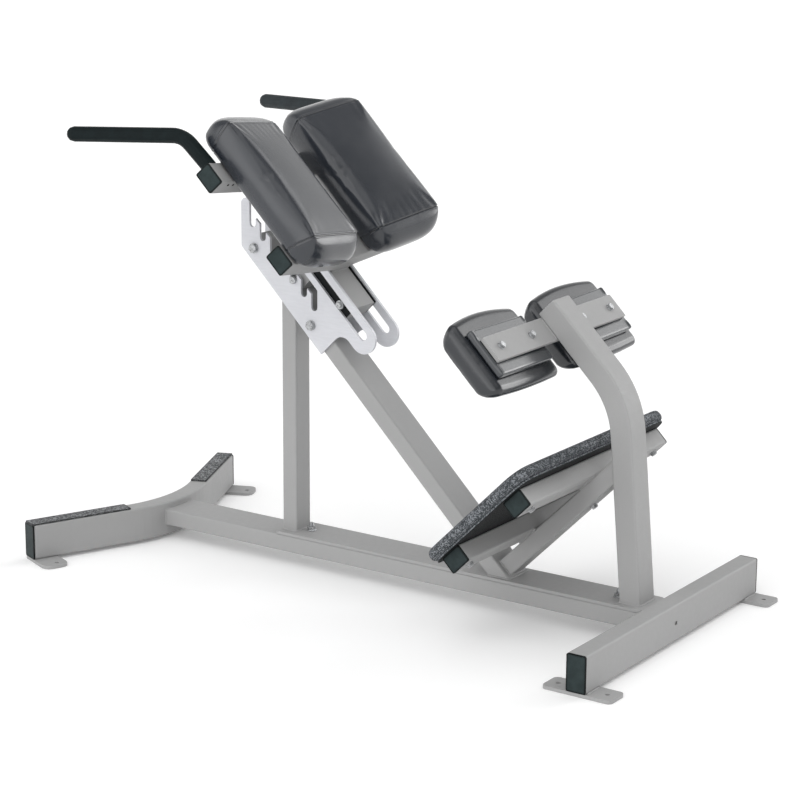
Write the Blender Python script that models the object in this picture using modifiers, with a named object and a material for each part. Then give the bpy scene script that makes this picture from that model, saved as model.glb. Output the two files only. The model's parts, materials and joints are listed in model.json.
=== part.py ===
"""Hyperextension bench: a steel floor frame, a sloping pad carriage and an ankle pad post.

Metres, +Z up. The bench stands on the floor at z = 0 and is the same on both sides of y = 0.
The pads and handles are at the -X end, the ankle pads and the foot board at the +X end.
The pads, plates and foot board lie on a slope of 45 degrees. On that slope a place is given
by s, which runs down it towards +X, and by n, which stands square to it and points up.
"""
import math

import bmesh
import bpy
from mathutils import Matrix, Vector

# Fits between pieces
SEAT = 0.0003
HOLE_PLAY = 0.0004

# Place of the rear crossbar's middle, which puts the bench's middle over the origin
REAR_X = 0.66555

# Steel tube, its caps and the fineness of its rounded edges
WALL = 0.0025
TUBE_EDGE = 0.0040
INNER_EDGE = 0.0016
CAP_LIP = 0.0030
CAP_PLUG = 0.0180
CAP_JOIN = 0.0005
ARC_STEPS = 3
EDGE_STEPS = 2
CORNER_STEPS = 5

# Cutters: how far they run past what they cut
CUT_REACH = 0.3000
CUT_DEPTH = 0.1000
CUT_PAST = 0.0200

# Floor bars and their feet
BAR_HEIGHT = 0.0762
BAR_WIDTH = 0.0424
CROSSBAR_HALF = 0.358
FOOT_PLATE = 0.0070
REAR_PLATE_HALF = 0.0753
REAR_PLATE_WIDTH = 0.0560
REAR_PLATE_HOLE_X = 0.0530
FOOT_HOLE = 0.0050
PLATE_CORNER = 0.0100
FRONT_TIP_X = -1.3868
FRONT_TIP_Y = 0.344
FRONT_SPLAY = math.radians(23.33)
FRONT_BEND = 0.300
STRIP_LENGTH = 0.2380
STRIP_WIDTH = 0.0370
STRIP_THICK = 0.0030
TAB_LENGTH = 0.0580
TAB_REACH = 0.0590
TAB_HOLE_ALONG = 0.0354
TAB_HOLE_ACROSS = 0.0627
TAB_INNER_CORNER = 0.0040
TAB_OUTER_CORNER = 0.0180
STRIP_EDGE = 0.0020
SERVICE_HOLE = 0.0048
BEND_STEPS = 12
BEND_CUT_STEPS = 240

# Base rail and the strip bolted on it
RAIL_WIDTH = 0.0960
RAIL_BOTTOM = 0.0310
RAIL_TOP = 0.0680
STRIP_PLATE = 0.0060
STRIP_FRONT_X = -0.9360
STRIP_CORNER = 0.0200
STRIP_FRONT_CORNER = 0.0040
STRIP_BOLT_LENGTH = 0.0220
RAIL_LAP = 0.0100
STRIP_BOLTS_X = (-0.8750, -0.1100)

# Front post and the long diagonal
POST_FRONT_X = -0.9340
POST_DEPTH = 0.0380
POST_HALF = 0.0254
DIAGONAL_LOW_N = -0.2290
DIAGONAL_TOP_N = -0.1915
DIAGONAL_HALF = 0.0381
DIAGONAL_TIP_S = -1.2130
DIAGONAL_FOOT_X = -0.3700
TRIM = 0.0100
POST_TRIM = 0.0040

# Strut, foot tubes and foot board
STRUT_S = -0.3411
STRUT_DEPTH = 0.0381
STRUT_HALF = 0.0254
FOOT_TUBE_DEPTH = 0.0381
FOOT_TUBE_HEIGHT = 0.0508
FOOT_TUBE_HALF = 0.2736
FOOT_TUBE_UPPER_N = 0.0958
FOOT_TUBE_LOWER_N = -0.0982
FOOT_BOARD_HALF = 0.2935
FOOT_BOARD_LOW_N = -0.1535
FOOT_BOARD_HIGH_N = 0.1567
FOOT_BOARD_CORNER = 0.0450
FOOT_BOARD_THICK = 0.0040
FOOT_BOARD_INSET = 0.0070
FOOT_BOARD_STEPS = 8
TREAD_THICK = 0.0242
TREAD_EDGE = 0.0100
TREAD_EDGE_STEPS = 4

# Rear post
REAR_POST_X = -0.0685
REAR_POST_LEAN = math.radians(5.2)
REAR_POST_HALF = 0.0310
REAR_POST_THICK = 0.0475
REAR_POST_BEND = 0.1850
REAR_POST_FACE_N = 0.2430
REAR_POST_TIP_S = -0.6577
REAR_POST_STEPS = 10
STRUT_MEETS_Z = 0.3000

# Ankle bar and pads
ANKLE_BAR_THICK = 0.0080
ANKLE_BAR_LOW_S = -0.5925
ANKLE_BAR_WIDTH = 0.0560
ANKLE_BAR_HALF = 0.2450
ANKLE_BAR_CORNER = 0.0020
ANKLE_BOLT_LENGTH = 0.0210
ANKLE_BOLTS_Y = (0.0980, 0.2103)
ANKLE_TILT = math.radians(2.0)
ANKLE_BOARD_THICK = 0.0160
ANKLE_BOARD_WIDTH = 0.1080
ANKLE_BOARD_LENGTH = 0.1980
ANKLE_BOARD_MID_Y = 0.1550
ANKLE_BOARD_CORNER = 0.0080
ANKLE_BOARD_EDGE = 0.0040
ANKLE_BOARD_PLAY = 0.0012
ANKLE_PAD_WIDTH = 0.1600
ANKLE_PAD_DEPTH = 0.0530
ANKLE_PAD_LENGTH = 0.2420
ANKLE_PAD_MID_Y = 0.1520
ANKLE_PAD_EDGE = 0.0160
ANKLE_PAD_ROUND_UP = 0.2600
ANKLE_PAD_ROUND_DOWN = 0.3600
ANKLE_PAD_ROUND_POWER = 2.2
ANKLE_PAD_CROWN = 0.0080
ANKLE_PAD_BULGE = 0.0030
ANKLE_PAD_BULGE_POWER = 8
ANKLE_PAD_BARREL_UP = 0.1700
ANKLE_PAD_BARREL_DOWN = 0.0500
ANKLE_PAD_LIFT = 0.0010

# Side plates: outline, notches and slot
PLATE_THICK = 0.00635
PLATE_INNER = 0.0384
PLATE_FRONT_X = -1.0250
PLATE_FINGER_TOP = 0.7995
PLATE_LOW_N = -0.2335
PLATE_END_S = -0.9200
PLATE_END_FILLET = 0.0250
PLATE_TOP_N = -0.0925
PLATE_ARM_END_S = -1.1700
PLATE_ARM_CORNER = 0.0080
PLATE_CHANNEL_CORNER = 0.0060
PLATE_CHANNEL_DROP = 0.0300
PLATE_EDGE = 0.0005
PLATE_SMOOTH = 28.0
LOBE_STEPS = 14
HOLLOW_STEPS = 8
PLATE_CHANNEL_N = -0.1440
LOBE_S = -0.8770
LOBE_RADIUS = 0.0320
NOTCH_COUNT = 7
NOTCH_PITCH = 0.0381
NOTCH_WIDTH = 0.0160
NOTCH_FIRST_X = -0.9945
NOTCH_FIRST_Z = 0.7380
TOOTH_RISE = 0.0195
TOOTH_SHOULDER = 0.0364
SLOT_N = -0.1195
SLOT_WIDTH = 0.0200
SLOT_LOW_S = -0.8820
SLOT_HIGH_S = -1.1300
PLATE_BOLT_N = -0.2100
PLATE_BOLTS_S = (-1.1910, -0.9800)
PLATE_BOLT_TAIL = 0.0120
CROSS_DRILL = 0.1200

# Pad carriage
SEAT_NOTCH = 4
PIN_DIAMETER = 0.0127
PIN_HEAD = 0.0165
PIN_HEAD_LENGTH = 0.0060
GUIDE_S = -0.9655
GUIDE_SHAFT = 0.0100
GUIDE_BUSH = 0.0190
GUIDE_HEAD = 0.0133
HEAD_CHAMFER = 0.0010
PIN_STEPS = 16
CARRIAGE_LOW_S = -0.9380
CARRIAGE_HIGH_S = -1.3000
CARRIAGE_LOW_N = -0.1360
CARRIAGE_TOP_N = -0.0980
CARRIAGE_HALF = 0.0340
CARRIAGE_EDGE = 0.0030
GLIDE_CORNER = 0.0020
GLIDE_PLAY = 0.0003
GLIDE_PROUD = 0.0015
BRACKET_LENGTH = 0.0450
BRACKET_HALF = 0.0300
BRACKET_DROP = 0.0500
BRACKET_CORNER = 0.0030
VEE_TILT = math.radians(10.0)
VEE_DEPTH = 0.0508
VEE_THICK = 0.0381
VEE_UPPER_S = -1.2745
VEE_UPPER_HALF = 0.2810
VEE_LOWER_S = -1.0580
VEE_LOWER_HALF = 0.2450
VEE_EDGE = 0.0030
VEE_SADDLE_PLAY = 0.0010
VEE_BEND_ANGLE = 50.0

# Hip pads and their boards
PAD_LENGTH = 0.2980
PAD_MID_S = -1.1945
PAD_WIDTH = 0.1965
PAD_INNER_Y = 0.0370
PAD_THICK = 0.0778
PAD_EDGE = 0.0125
PAD_END_BULGE = 0.0430
PAD_END_FULL = 0.5600
PAD_END_TUCK = 0.0120
PAD_OUTER_POWER = 4
PAD_INNER_POWER = 6
PAD_SIDE_BULGE = 0.0030
PAD_CROWN = 0.0050
PAD_TUCK = 0.0300
PAD_BOARD_THICK = 0.0120
PAD_BOARD_MARGIN = 0.0220
PAD_BOARD_CORNER = 0.0080
PAD_SMOOTH = 60.0

# Seams and fineness of the cushions
SEAM_DEPTH = 0.0016
SEAM_SIDE_POWER = 6
CUSHION_CELLS = 10
CUSHION_EDGE_CELLS = 2

# Handles
HANDLE_DIAMETER = 0.03175
HANDLE_BEND = 0.0550
HANDLE_FOOT = (-1.2940, 0.2575, -0.0270)
HANDLE_ELBOW = (-1.3849, 0.2648, -0.0290)
HANDLE_TIP = (-1.5464, 0.3263, -0.2044)
HANDLE_SIDES = 14
HANDLE_BEND_STEPS = 8
HANDLE_END_ANGLES = (0.0, 30.0, 55.0, 75.0)
HANDLE_SMOOTH = 50.0

# Bolts
BOLT_SHANK = 0.0100
BOLT_HEAD = 0.0170
BOLT_HEAD_HEIGHT = 0.0065
BOLT_WASHER = 0.0230
BOLT_WASHER_THICK = 0.0020
BOLT_CHAMFER = 0.1200
HEX_HALF = math.radians(30.0)
HEX_STEP = 60.0
ROUND_STEPS = 12
SMOOTH_ANGLE = 35.0
SOFT_ANGLE = 40.0

SLOPE = math.radians(45.0)
ROOT2 = math.sqrt(2.0)


def to_side(s, n):
    """A place on the slope as x and z of the side view."""
    return ((s + n) / ROOT2, (n - s) / ROOT2)


def to_slope(x, z):
    """A place of the side view as s and n of the slope."""
    return ((x - z) / ROOT2, (x + z) / ROOT2)


STRIP_TOP = RAIL_TOP + SEAT + STRIP_PLATE
BAR_BOTTOM = FOOT_PLATE + SEAT
PLATE_OUTER = PLATE_INNER + PLATE_THICK
PIN_X = NOTCH_FIRST_X + SEAT_NOTCH * NOTCH_PITCH / ROOT2
PIN_Z = NOTCH_FIRST_Z - SEAT_NOTCH * NOTCH_PITCH / ROOT2 + PIN_DIAMETER / 2 + SEAT
PIN_S, PIN_N = to_slope(PIN_X, PIN_Z)
VEE_TOP_N = CARRIAGE_TOP_N + SEAT + VEE_THICK / math.cos(VEE_TILT)
FRONT_BEND_DROP = FRONT_BEND * (1.0 / math.cos(FRONT_SPLAY) - 1.0)
FRONT_CORNER_X = FRONT_TIP_X + FRONT_TIP_Y * math.tan(FRONT_SPLAY)
FRONT_BEND_X = FRONT_CORNER_X - FRONT_BEND_DROP - FRONT_BEND


# Scene, collections and materials


def clear_scene():
    for obj in list(bpy.data.objects):
        bpy.data.objects.remove(obj, do_unlink=True)


def new_collection(name):
    collection = bpy.data.collections.new(name)
    bpy.context.scene.collection.children.link(collection)
    return collection


def material(name, colour, roughness, metallic):
    result = bpy.data.materials.new(name)
    result.use_nodes = True
    shader = result.node_tree.nodes["Principled BSDF"]
    shader.inputs["Base Color"].default_value = (*colour, 1.0)
    shader.inputs["Roughness"].default_value = roughness
    shader.inputs["Metallic"].default_value = metallic
    return result


def make_materials():
    return {
        "frame_paint": material("frame_paint", (0.42, 0.42, 0.42), 0.45, 0.0),
        "plate_paint": material("plate_paint", (0.60, 0.61, 0.63), 0.35, 0.3),
        "steel": material("steel", (0.46, 0.46, 0.45), 0.35, 1.0),
        "black_plastic": material("black_plastic", (0.018, 0.024, 0.024), 0.45, 0.0),
        "grip_rubber": material("grip_rubber", (0.015, 0.022, 0.022), 0.60, 0.0),
        "tape_rubber": material("tape_rubber", (0.020, 0.022, 0.024), 0.85, 0.0),
        "pad_vinyl": material("pad_vinyl", (0.080, 0.090, 0.105), 0.42, 0.0),
        "tread_rubber": material("tread_rubber", (0.075, 0.080, 0.082), 0.90, 0.0),
        "board_black": material("board_black", (0.020, 0.020, 0.022), 0.70, 0.0),
    }


class Bench:
    """The collections, materials and parent empties that every piece needs."""

    def __init__(self):
        self.parts = new_collection("hyperextension_bench")
        self.cutters = new_collection("cutters")
        self.materials = make_materials()
        self.root = self.empty("bench_origin", None, (REAR_X, 0.0, 0.0))
        self.slope = self.empty("slope", self.root, (0.0, 0.0, 0.0))
        self.slope.rotation_euler = (0.0, SLOPE, 0.0)
        self.guide = self.empty("guide_path", self.slope, (GUIDE_S, 0.0, SLOT_N))
        self.carriage = self.empty("carriage_pivot", self.guide, (0.0, 0.0, 0.0))

    def empty(self, name, parent, location):
        obj = bpy.data.objects.new(name, None)
        obj.parent = parent
        obj.location = location
        obj.empty_display_size = 0.05
        self.parts.objects.link(obj)
        return obj

    def place(self, obj, parent, location, material_name):
        obj.parent = parent
        obj.location = location
        obj.data.materials.clear()
        obj.data.materials.append(self.materials[material_name])
        self.parts.objects.link(obj)
        return obj

    def cut(self, obj, cutter, parent, location, operation="DIFFERENCE"):
        cutter.parent = parent
        cutter.location = location
        cutter.hide_render = True
        cutter.display_type = "WIRE"
        self.cutters.objects.link(cutter)
        step = obj.modifiers.new(cutter.name, "BOOLEAN")
        step.operation = operation
        step.solver = "EXACT"
        step.object = cutter
        return obj


# Outlines in the plane


def arc(centre, radius, start, end, steps):
    """Points on an arc, in degrees, both ends included."""
    points = []
    for index in range(steps + 1):
        angle = math.radians(start + (end - start) * index / steps)
        points.append((centre[0] + radius * math.cos(angle), centre[1] + radius * math.sin(angle)))
    return points


def circle(centre, radius, steps=ROUND_STEPS):
    return arc(centre, radius, 0.0, 360.0, steps)[:-1]


def rounded_rect(width, height, radius, steps=ARC_STEPS, centre=(0.0, 0.0)):
    points = []
    reach_u = width / 2 - radius
    reach_v = height / 2 - radius
    for sign_u, sign_v, start in ((1, 1, 0), (-1, 1, 90), (-1, -1, 180), (1, -1, 270)):
        corner = (centre[0] + sign_u * reach_u, centre[1] + sign_v * reach_v)
        points.extend(arc(corner, radius, start, start + 90.0, steps))
    return points


def fillet(before, corner, after, radius, steps):
    """Points of an arc that rounds a corner of a path."""
    corner = Vector(corner)
    back = (Vector(before) - corner).normalized()
    ahead = (Vector(after) - corner).normalized()
    half = back.angle(ahead) / 2
    middle = (back + ahead).normalized()
    centre = corner + middle * (radius / math.sin(half))
    start = corner + back * (radius / math.tan(half)) - centre
    end = corner + ahead * (radius / math.tan(half)) - centre
    turn = start.angle(end)
    points = []
    for index in range(steps + 1):
        share = index / steps
        blend = start * math.sin((1 - share) * turn) + end * math.sin(share * turn)
        points.append(tuple(centre + blend / math.sin(turn)))
    return points


def rounded_path(corners, radii, steps):
    """A closed outline whose corners are rounded, each with its own radius."""
    points = []
    for index, corner in enumerate(corners):
        radius = radii[index]
        if radius == 0.0:
            points.append(tuple(corner))
            continue
        before = corners[index - 1]
        after = corners[(index + 1) % len(corners)]
        points.extend(fillet(before, corner, after, radius, steps))
    return points


def band(path, half_width):
    """The outline of a strip that follows a path."""
    left = []
    right = []
    for index, point in enumerate(path):
        before = Vector(path[max(index - 1, 0)])
        after = Vector(path[min(index + 1, len(path) - 1)])
        along = (after - before).normalized()
        side = Vector((-along.y, along.x))
        here = Vector(point)
        left.append(tuple(here + side * half_width))
        right.append(tuple(here - side * half_width))
    return left + right[::-1]


# Solids

ALONG = {
    "X": Matrix(((0, 0, 1, 0), (1, 0, 0, 0), (0, 1, 0, 0), (0, 0, 0, 1))),
    "Y": Matrix(((1, 0, 0, 0), (0, 0, -1, 0), (0, 1, 0, 0), (0, 0, 0, 1))),
    "Z": Matrix.Identity(4),
}
MERGE = 0.000001
FLAT_ANGLE = math.radians(0.3)


def evaluated_mesh(name, data):
    """The mesh that a curve or a modified object makes."""
    holder = data if isinstance(data, bpy.types.Object) else bpy.data.objects.new(name, data)
    bpy.context.scene.collection.objects.link(holder)
    depsgraph = bpy.context.evaluated_depsgraph_get()
    mesh = bpy.data.meshes.new_from_object(holder.evaluated_get(depsgraph))
    bpy.data.objects.remove(holder, do_unlink=True)
    mesh.name = name
    return mesh


def tidied(name, mesh, along="Z", dissolve=True):
    """A new object of a mesh with its doubled points merged and its normals outward."""
    work = bmesh.new()
    work.from_mesh(mesh)
    bmesh.ops.remove_doubles(work, verts=work.verts, dist=MERGE)
    if dissolve:
        bmesh.ops.dissolve_limit(work, angle_limit=FLAT_ANGLE, verts=work.verts, edges=work.edges)
    bmesh.ops.transform(work, matrix=ALONG[along], verts=work.verts)
    bmesh.ops.recalc_face_normals(work, faces=work.faces)
    work.to_mesh(mesh)
    work.free()
    return bpy.data.objects.new(name, mesh)


def extruded(name, outlines, depth, along="Z"):
    """A solid of the given outlines, the later ones holes, half its depth to each side."""
    curve = bpy.data.curves.new(name, "CURVE")
    curve.dimensions = "2D"
    curve.fill_mode = "BOTH"
    curve.extrude = depth / 2
    for outline in outlines:
        spline = curve.splines.new("POLY")
        spline.points.add(len(outline) - 1)
        for point, place in zip(spline.points, outline):
            point.co = (place[0], place[1], 0.0, 1.0)
        spline.use_cyclic_u = True
    return tidied(name, evaluated_mesh(name, curve), along)


def block(name, size, edge=0.0, along="Z", steps=ARC_STEPS):
    """A box, its four long edges rounded where an edge radius is given."""
    width, height, depth = size
    if edge > 0.0:
        outline = rounded_rect(width, height, edge, steps)
    else:
        outline = [
            (-width / 2, -height / 2),
            (width / 2, -height / 2),
            (width / 2, height / 2),
            (-width / 2, height / 2),
        ]
    return extruded(name, [outline], depth, along)


def tube(name, width, height, length, along, wall=WALL):
    """A rectangular steel tube, open at both ends."""
    outer = rounded_rect(width, height, TUBE_EDGE)
    inner = rounded_rect(width - 2 * wall, height - 2 * wall, INNER_EDGE, EDGE_STEPS)
    return extruded(name, [outer, inner], length, along)


def turned(name, profile, steps=ROUND_STEPS, along="Z"):
    """A turned piece: the profile of (radius, height) points runs from top to bottom."""
    mesh = bpy.data.meshes.new(name)
    edges = [(index, index + 1) for index in range(len(profile) - 1)]
    mesh.from_pydata([(radius, 0.0, height) for radius, height in profile], edges, [])
    holder = bpy.data.objects.new(name, mesh)
    screw = holder.modifiers.new("turn", "SCREW")
    screw.axis = "Z"
    screw.steps = steps
    screw.render_steps = steps
    screw.use_merge_vertices = True
    screw.merge_threshold = 0.00001
    return tidied(name, evaluated_mesh(name, holder), along, dissolve=False)


def softened(obj, width, segments=1, angle=SOFT_ANGLE):
    """Small bevels on the sharp edges of a piece."""
    bevel = obj.modifiers.new("edges", "BEVEL")
    bevel.width = width
    bevel.segments = segments
    bevel.limit_method = "ANGLE"
    bevel.angle_limit = math.radians(angle)
    return obj


def smooth(obj, angle=SMOOTH_ANGLE):
    for polygon in obj.data.polygons:
        polygon.use_smooth = True
    obj.data.set_sharp_from_angle(angle=math.radians(angle))
    return obj


def hex_bolt(name, shank_length, head=BOLT_HEAD, washer=BOLT_WASHER, shank=BOLT_SHANK, nut_at=None):
    """A bolt along Z: washer and hexagon head above z = 0, shank below, and a nut if asked."""
    washer_top = BOLT_WASHER_THICK
    head_top = washer_top + BOLT_HEAD_HEIGHT
    corner = head / 2 / math.cos(HEX_HALF)
    chamfer = corner * BOLT_CHAMFER
    profile = [
        (0.0, head_top),
        (corner - chamfer, head_top),
        (corner, head_top - chamfer / 2),
        (corner, washer_top),
        (washer / 2, washer_top),
        (washer / 2, 0.0),
        (shank / 2, 0.0),
    ]
    hexes = {1, 2, 3}
    if nut_at is not None:
        first = len(profile)
        profile.extend([
            (shank / 2, -nut_at),
            (washer / 2, -nut_at),
            (washer / 2, -nut_at - washer_top),
            (corner, -nut_at - washer_top),
            (corner, -nut_at - head_top + chamfer / 2),
            (corner - chamfer, -nut_at - head_top),
            (shank / 2, -nut_at - head_top),
        ])
        hexes |= {first + 3, first + 4, first + 5}
    profile.append((shank / 2, -shank_length))
    profile.append((0.0, -shank_length))
    obj = turned(name, profile)
    hex_rings = {(round(profile[i][0], 6), round(profile[i][1], 6)) for i in hexes}
    for vertex in obj.data.vertices:
        radius = math.hypot(vertex.co.x, vertex.co.y)
        if (round(radius, 6), round(vertex.co.z, 6)) not in hex_rings:
            continue
        turn = math.radians(math.degrees(math.atan2(vertex.co.y, vertex.co.x)) % HEX_STEP)
        factor = math.cos(HEX_HALF) / math.cos(turn - HEX_HALF)
        vertex.co.x *= factor
        vertex.co.y *= factor
    return obj


def plug_cap(name, width, height, along, sign):
    """A tube cap: a lip as large as the tube and a plug that goes into it."""
    lip = block(name, (width, height, CAP_LIP), TUBE_EDGE, along)
    inside = 2 * (WALL + SEAT)
    size = (width - inside, height - inside, CAP_PLUG)
    plug = block(name + "_plug", size, INNER_EDGE, along, EDGE_STEPS)
    offset = {"X": Vector((1, 0, 0)), "Y": Vector((0, 1, 0)), "Z": Vector((0, 0, 1))}[along]
    shift = -sign * (CAP_PLUG / 2 + CAP_LIP / 2 - CAP_JOIN)
    plug.data.transform(Matrix.Translation(offset * shift))
    merged = union_mesh(name, lip, plug)
    return smooth(merged)


def union_mesh(name, first, second):
    """Two overlapping solids made into one."""
    scene = bpy.context.scene.collection
    scene.objects.link(second)
    step = first.modifiers.new("join", "BOOLEAN")
    step.operation = "UNION"
    step.solver = "EXACT"
    step.object = second
    mesh = evaluated_mesh(name + "_joined", first)
    bpy.data.objects.remove(second, do_unlink=True)
    mesh.name = name
    return tidied(name, mesh)


# Floor frame


def crossbar(bench):
    length = 2 * (CROSSBAR_HALF - CAP_LIP)
    obj = tube("rear_crossbar", BAR_WIDTH, BAR_HEIGHT, length, "Y")
    middle_z = BAR_BOTTOM + BAR_HEIGHT / 2
    bench.place(smooth(obj), bench.root, (0.0, 0.0, middle_z), "frame_paint")
    drill = extruded("crossbar_drill", [circle((0.0, 0.0), SERVICE_HOLE)], WALL * 4, "X")
    bench.cut(obj, drill, bench.root, (BAR_WIDTH / 2, 0.0, middle_z))
    for side, sign in (("near", -1), ("far", 1)):
        cap = plug_cap("rear_cap_" + side, BAR_WIDTH, BAR_HEIGHT, "Y", sign)
        middle_y = sign * (CROSSBAR_HALF - CAP_LIP / 2 + SEAT)
        bench.place(cap, bench.root, (0.0, middle_y, middle_z), "black_plastic")


def rear_foot_plates(bench):
    outline = rounded_rect(2 * REAR_PLATE_HALF, REAR_PLATE_WIDTH, PLATE_CORNER)
    holes = [circle((sign * REAR_PLATE_HOLE_X, 0.0), FOOT_HOLE) for sign in (-1, 1)]
    for side, sign in (("near", -1), ("far", 1)):
        obj = smooth(extruded("rear_foot_plate_" + side, [outline] + holes, FOOT_PLATE))
        middle_y = sign * (CROSSBAR_HALF - REAR_PLATE_WIDTH / 2)
        bench.place(obj, bench.root, (0.0, middle_y, FOOT_PLATE / 2), "frame_paint")


def front_path(trim):
    """The middle line of the bent front bar, cut short by a trim at both ends."""
    along = Vector((math.sin(FRONT_SPLAY), math.cos(FRONT_SPLAY)))
    near = Vector((FRONT_TIP_X, -FRONT_TIP_Y)) + along * trim
    far = Vector((near.x, -near.y))
    corner = (FRONT_CORNER_X, 0.0)
    return [tuple(near)] + fillet(near, corner, far, FRONT_BEND, BEND_STEPS) + [tuple(far)]


def front_bar(bench):
    middle_z = BAR_BOTTOM + BAR_HEIGHT / 2
    obj = extruded("front_foot", [band(front_path(CAP_LIP), BAR_WIDTH / 2)], BAR_HEIGHT)
    softened(smooth(obj), TUBE_EDGE, ARC_STEPS)
    bench.place(obj, bench.root, (0.0, 0.0, middle_z), "frame_paint")
    inside = extruded(
        "front_foot_inside",
        [band(front_path(-CAP_LIP), BAR_WIDTH / 2 - WALL)],
        BAR_HEIGHT - 2 * WALL,
    )
    bench.cut(obj, inside, bench.root, (0.0, 0.0, middle_z))


def at_arm(sign, along, across):
    """A place on a front arm: along it from its tip, and across it towards the rear."""
    tip = Vector((FRONT_TIP_X, sign * FRONT_TIP_Y))
    inward = Vector((math.sin(FRONT_SPLAY), -sign * math.cos(FRONT_SPLAY)))
    rearward = Vector((math.cos(FRONT_SPLAY), sign * math.sin(FRONT_SPLAY)))
    return tip + inward * along + rearward * across


def arm_turn(sign):
    """The turn about Z that lays local Y along an arm, away from its tip."""
    return -FRONT_SPLAY if sign < 0 else FRONT_SPLAY


def front_caps(bench):
    middle_z = BAR_BOTTOM + BAR_HEIGHT / 2
    for side, sign in (("near", -1), ("far", 1)):
        cap = plug_cap("front_cap_" + side, BAR_WIDTH, BAR_HEIGHT, "Y", sign)
        middle = at_arm(sign, CAP_LIP / 2 - SEAT, 0.0)
        bench.place(cap, bench.root, (middle.x, middle.y, middle_z), "black_plastic")
        cap.rotation_euler = (0.0, 0.0, arm_turn(sign))


def front_strips(bench):
    outline = rounded_rect(STRIP_WIDTH, STRIP_LENGTH, STRIP_EDGE, EDGE_STEPS)
    for side, sign in (("near", -1), ("far", 1)):
        obj = smooth(extruded("front_strip_" + side, [outline], STRIP_THICK))
        middle = at_arm(sign, STRIP_LENGTH / 2, 0.0)
        height = BAR_BOTTOM + BAR_HEIGHT + SEAT + STRIP_THICK / 2
        bench.place(obj, bench.root, (middle.x, middle.y, height), "tape_rubber")
        obj.rotation_euler = (0.0, 0.0, arm_turn(sign))


def front_tabs(bench):
    for side, sign in (("near", -1), ("far", 1)):
        corners = [
            at_arm(sign, 0.0, -BAR_WIDTH / 2),
            at_arm(sign, 0.0, BAR_WIDTH / 2 + TAB_REACH),
            at_arm(sign, TAB_LENGTH, BAR_WIDTH / 2 + TAB_REACH),
            at_arm(sign, TAB_LENGTH, -BAR_WIDTH / 2),
        ]
        radii = [TAB_INNER_CORNER, TAB_OUTER_CORNER, TAB_OUTER_CORNER, TAB_INNER_CORNER]
        outline = rounded_path(corners, radii, ARC_STEPS)
        hole = circle(at_arm(sign, TAB_HOLE_ALONG, TAB_HOLE_ACROSS), FOOT_HOLE)
        obj = smooth(extruded("front_tab_" + side, [outline, hole], FOOT_PLATE))
        bench.place(obj, bench.root, (0.0, 0.0, FOOT_PLATE / 2), "frame_paint")


def base_rail(bench):
    front = FRONT_BEND_X + FRONT_BEND + BAR_WIDTH / 2 - RAIL_LAP
    rear = -BAR_WIDTH / 2 - SEAT
    height = RAIL_TOP - RAIL_BOTTOM
    obj = tube("base_rail", RAIL_WIDTH, height, rear - front, "X")
    middle = ((front + rear) / 2, 0.0, RAIL_BOTTOM + height / 2)
    bench.place(smooth(obj), bench.root, middle, "frame_paint")
    bend = circle((0.0, 0.0), FRONT_BEND + BAR_WIDTH / 2 + SEAT, BEND_CUT_STEPS)
    face = extruded("rail_front_face", [bend], BAR_HEIGHT * 2)
    bench.cut(obj, face, bench.root, (FRONT_BEND_X, 0.0, RAIL_BOTTOM))
    hole = circle((0.0, 0.0), BOLT_SHANK / 2 + HOLE_PLAY)
    for index, place in enumerate(STRIP_BOLTS_X):
        drill = extruded("rail_drill_%d" % index, [hole], WALL * 4)
        bench.cut(obj, drill, bench.root, (place, 0.0, RAIL_TOP))


def mount_strip(bench):
    rear = -BAR_WIDTH / 2 - SEAT
    half = RAIL_WIDTH / 2
    corners = [(STRIP_FRONT_X, -half), (rear, -half), (rear, half), (STRIP_FRONT_X, half)]
    radii = [STRIP_FRONT_CORNER, STRIP_CORNER, STRIP_CORNER, STRIP_FRONT_CORNER]
    outline = rounded_path(corners, radii, CORNER_STEPS)
    holes = [circle((place, 0.0), BOLT_SHANK / 2 + HOLE_PLAY) for place in STRIP_BOLTS_X]
    obj = smooth(extruded("mount_strip", [outline] + holes, STRIP_PLATE))
    bench.place(obj, bench.root, (0.0, 0.0, STRIP_TOP - STRIP_PLATE / 2), "frame_paint")
    for index, place in enumerate(STRIP_BOLTS_X):
        bolt = hex_bolt("strip_bolt_" + ("front", "rear")[index], STRIP_BOLT_LENGTH)
        bench.place(smooth(bolt), bench.root, (place, 0.0, STRIP_TOP + SEAT), "steel")


def front_post(bench):
    lift = STRIP_TOP + SEAT
    top = DIAGONAL_LOW_N * ROOT2 - POST_FRONT_X + POST_TRIM
    obj = tube("front_post", POST_DEPTH, 2 * POST_HALF, top - lift, "Z")
    middle_x = POST_FRONT_X + POST_DEPTH / 2
    bench.place(smooth(obj), bench.root, (middle_x, 0.0, (top + lift) / 2), "frame_paint")
    mitre = block("post_mitre", (CUT_REACH, CUT_REACH, CUT_DEPTH))
    mitre_n = DIAGONAL_LOW_N - SEAT + CUT_DEPTH / 2
    bench.cut(obj, mitre, bench.slope, (DIAGONAL_TIP_S + CUT_REACH / 2, 0.0, mitre_n))


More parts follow.
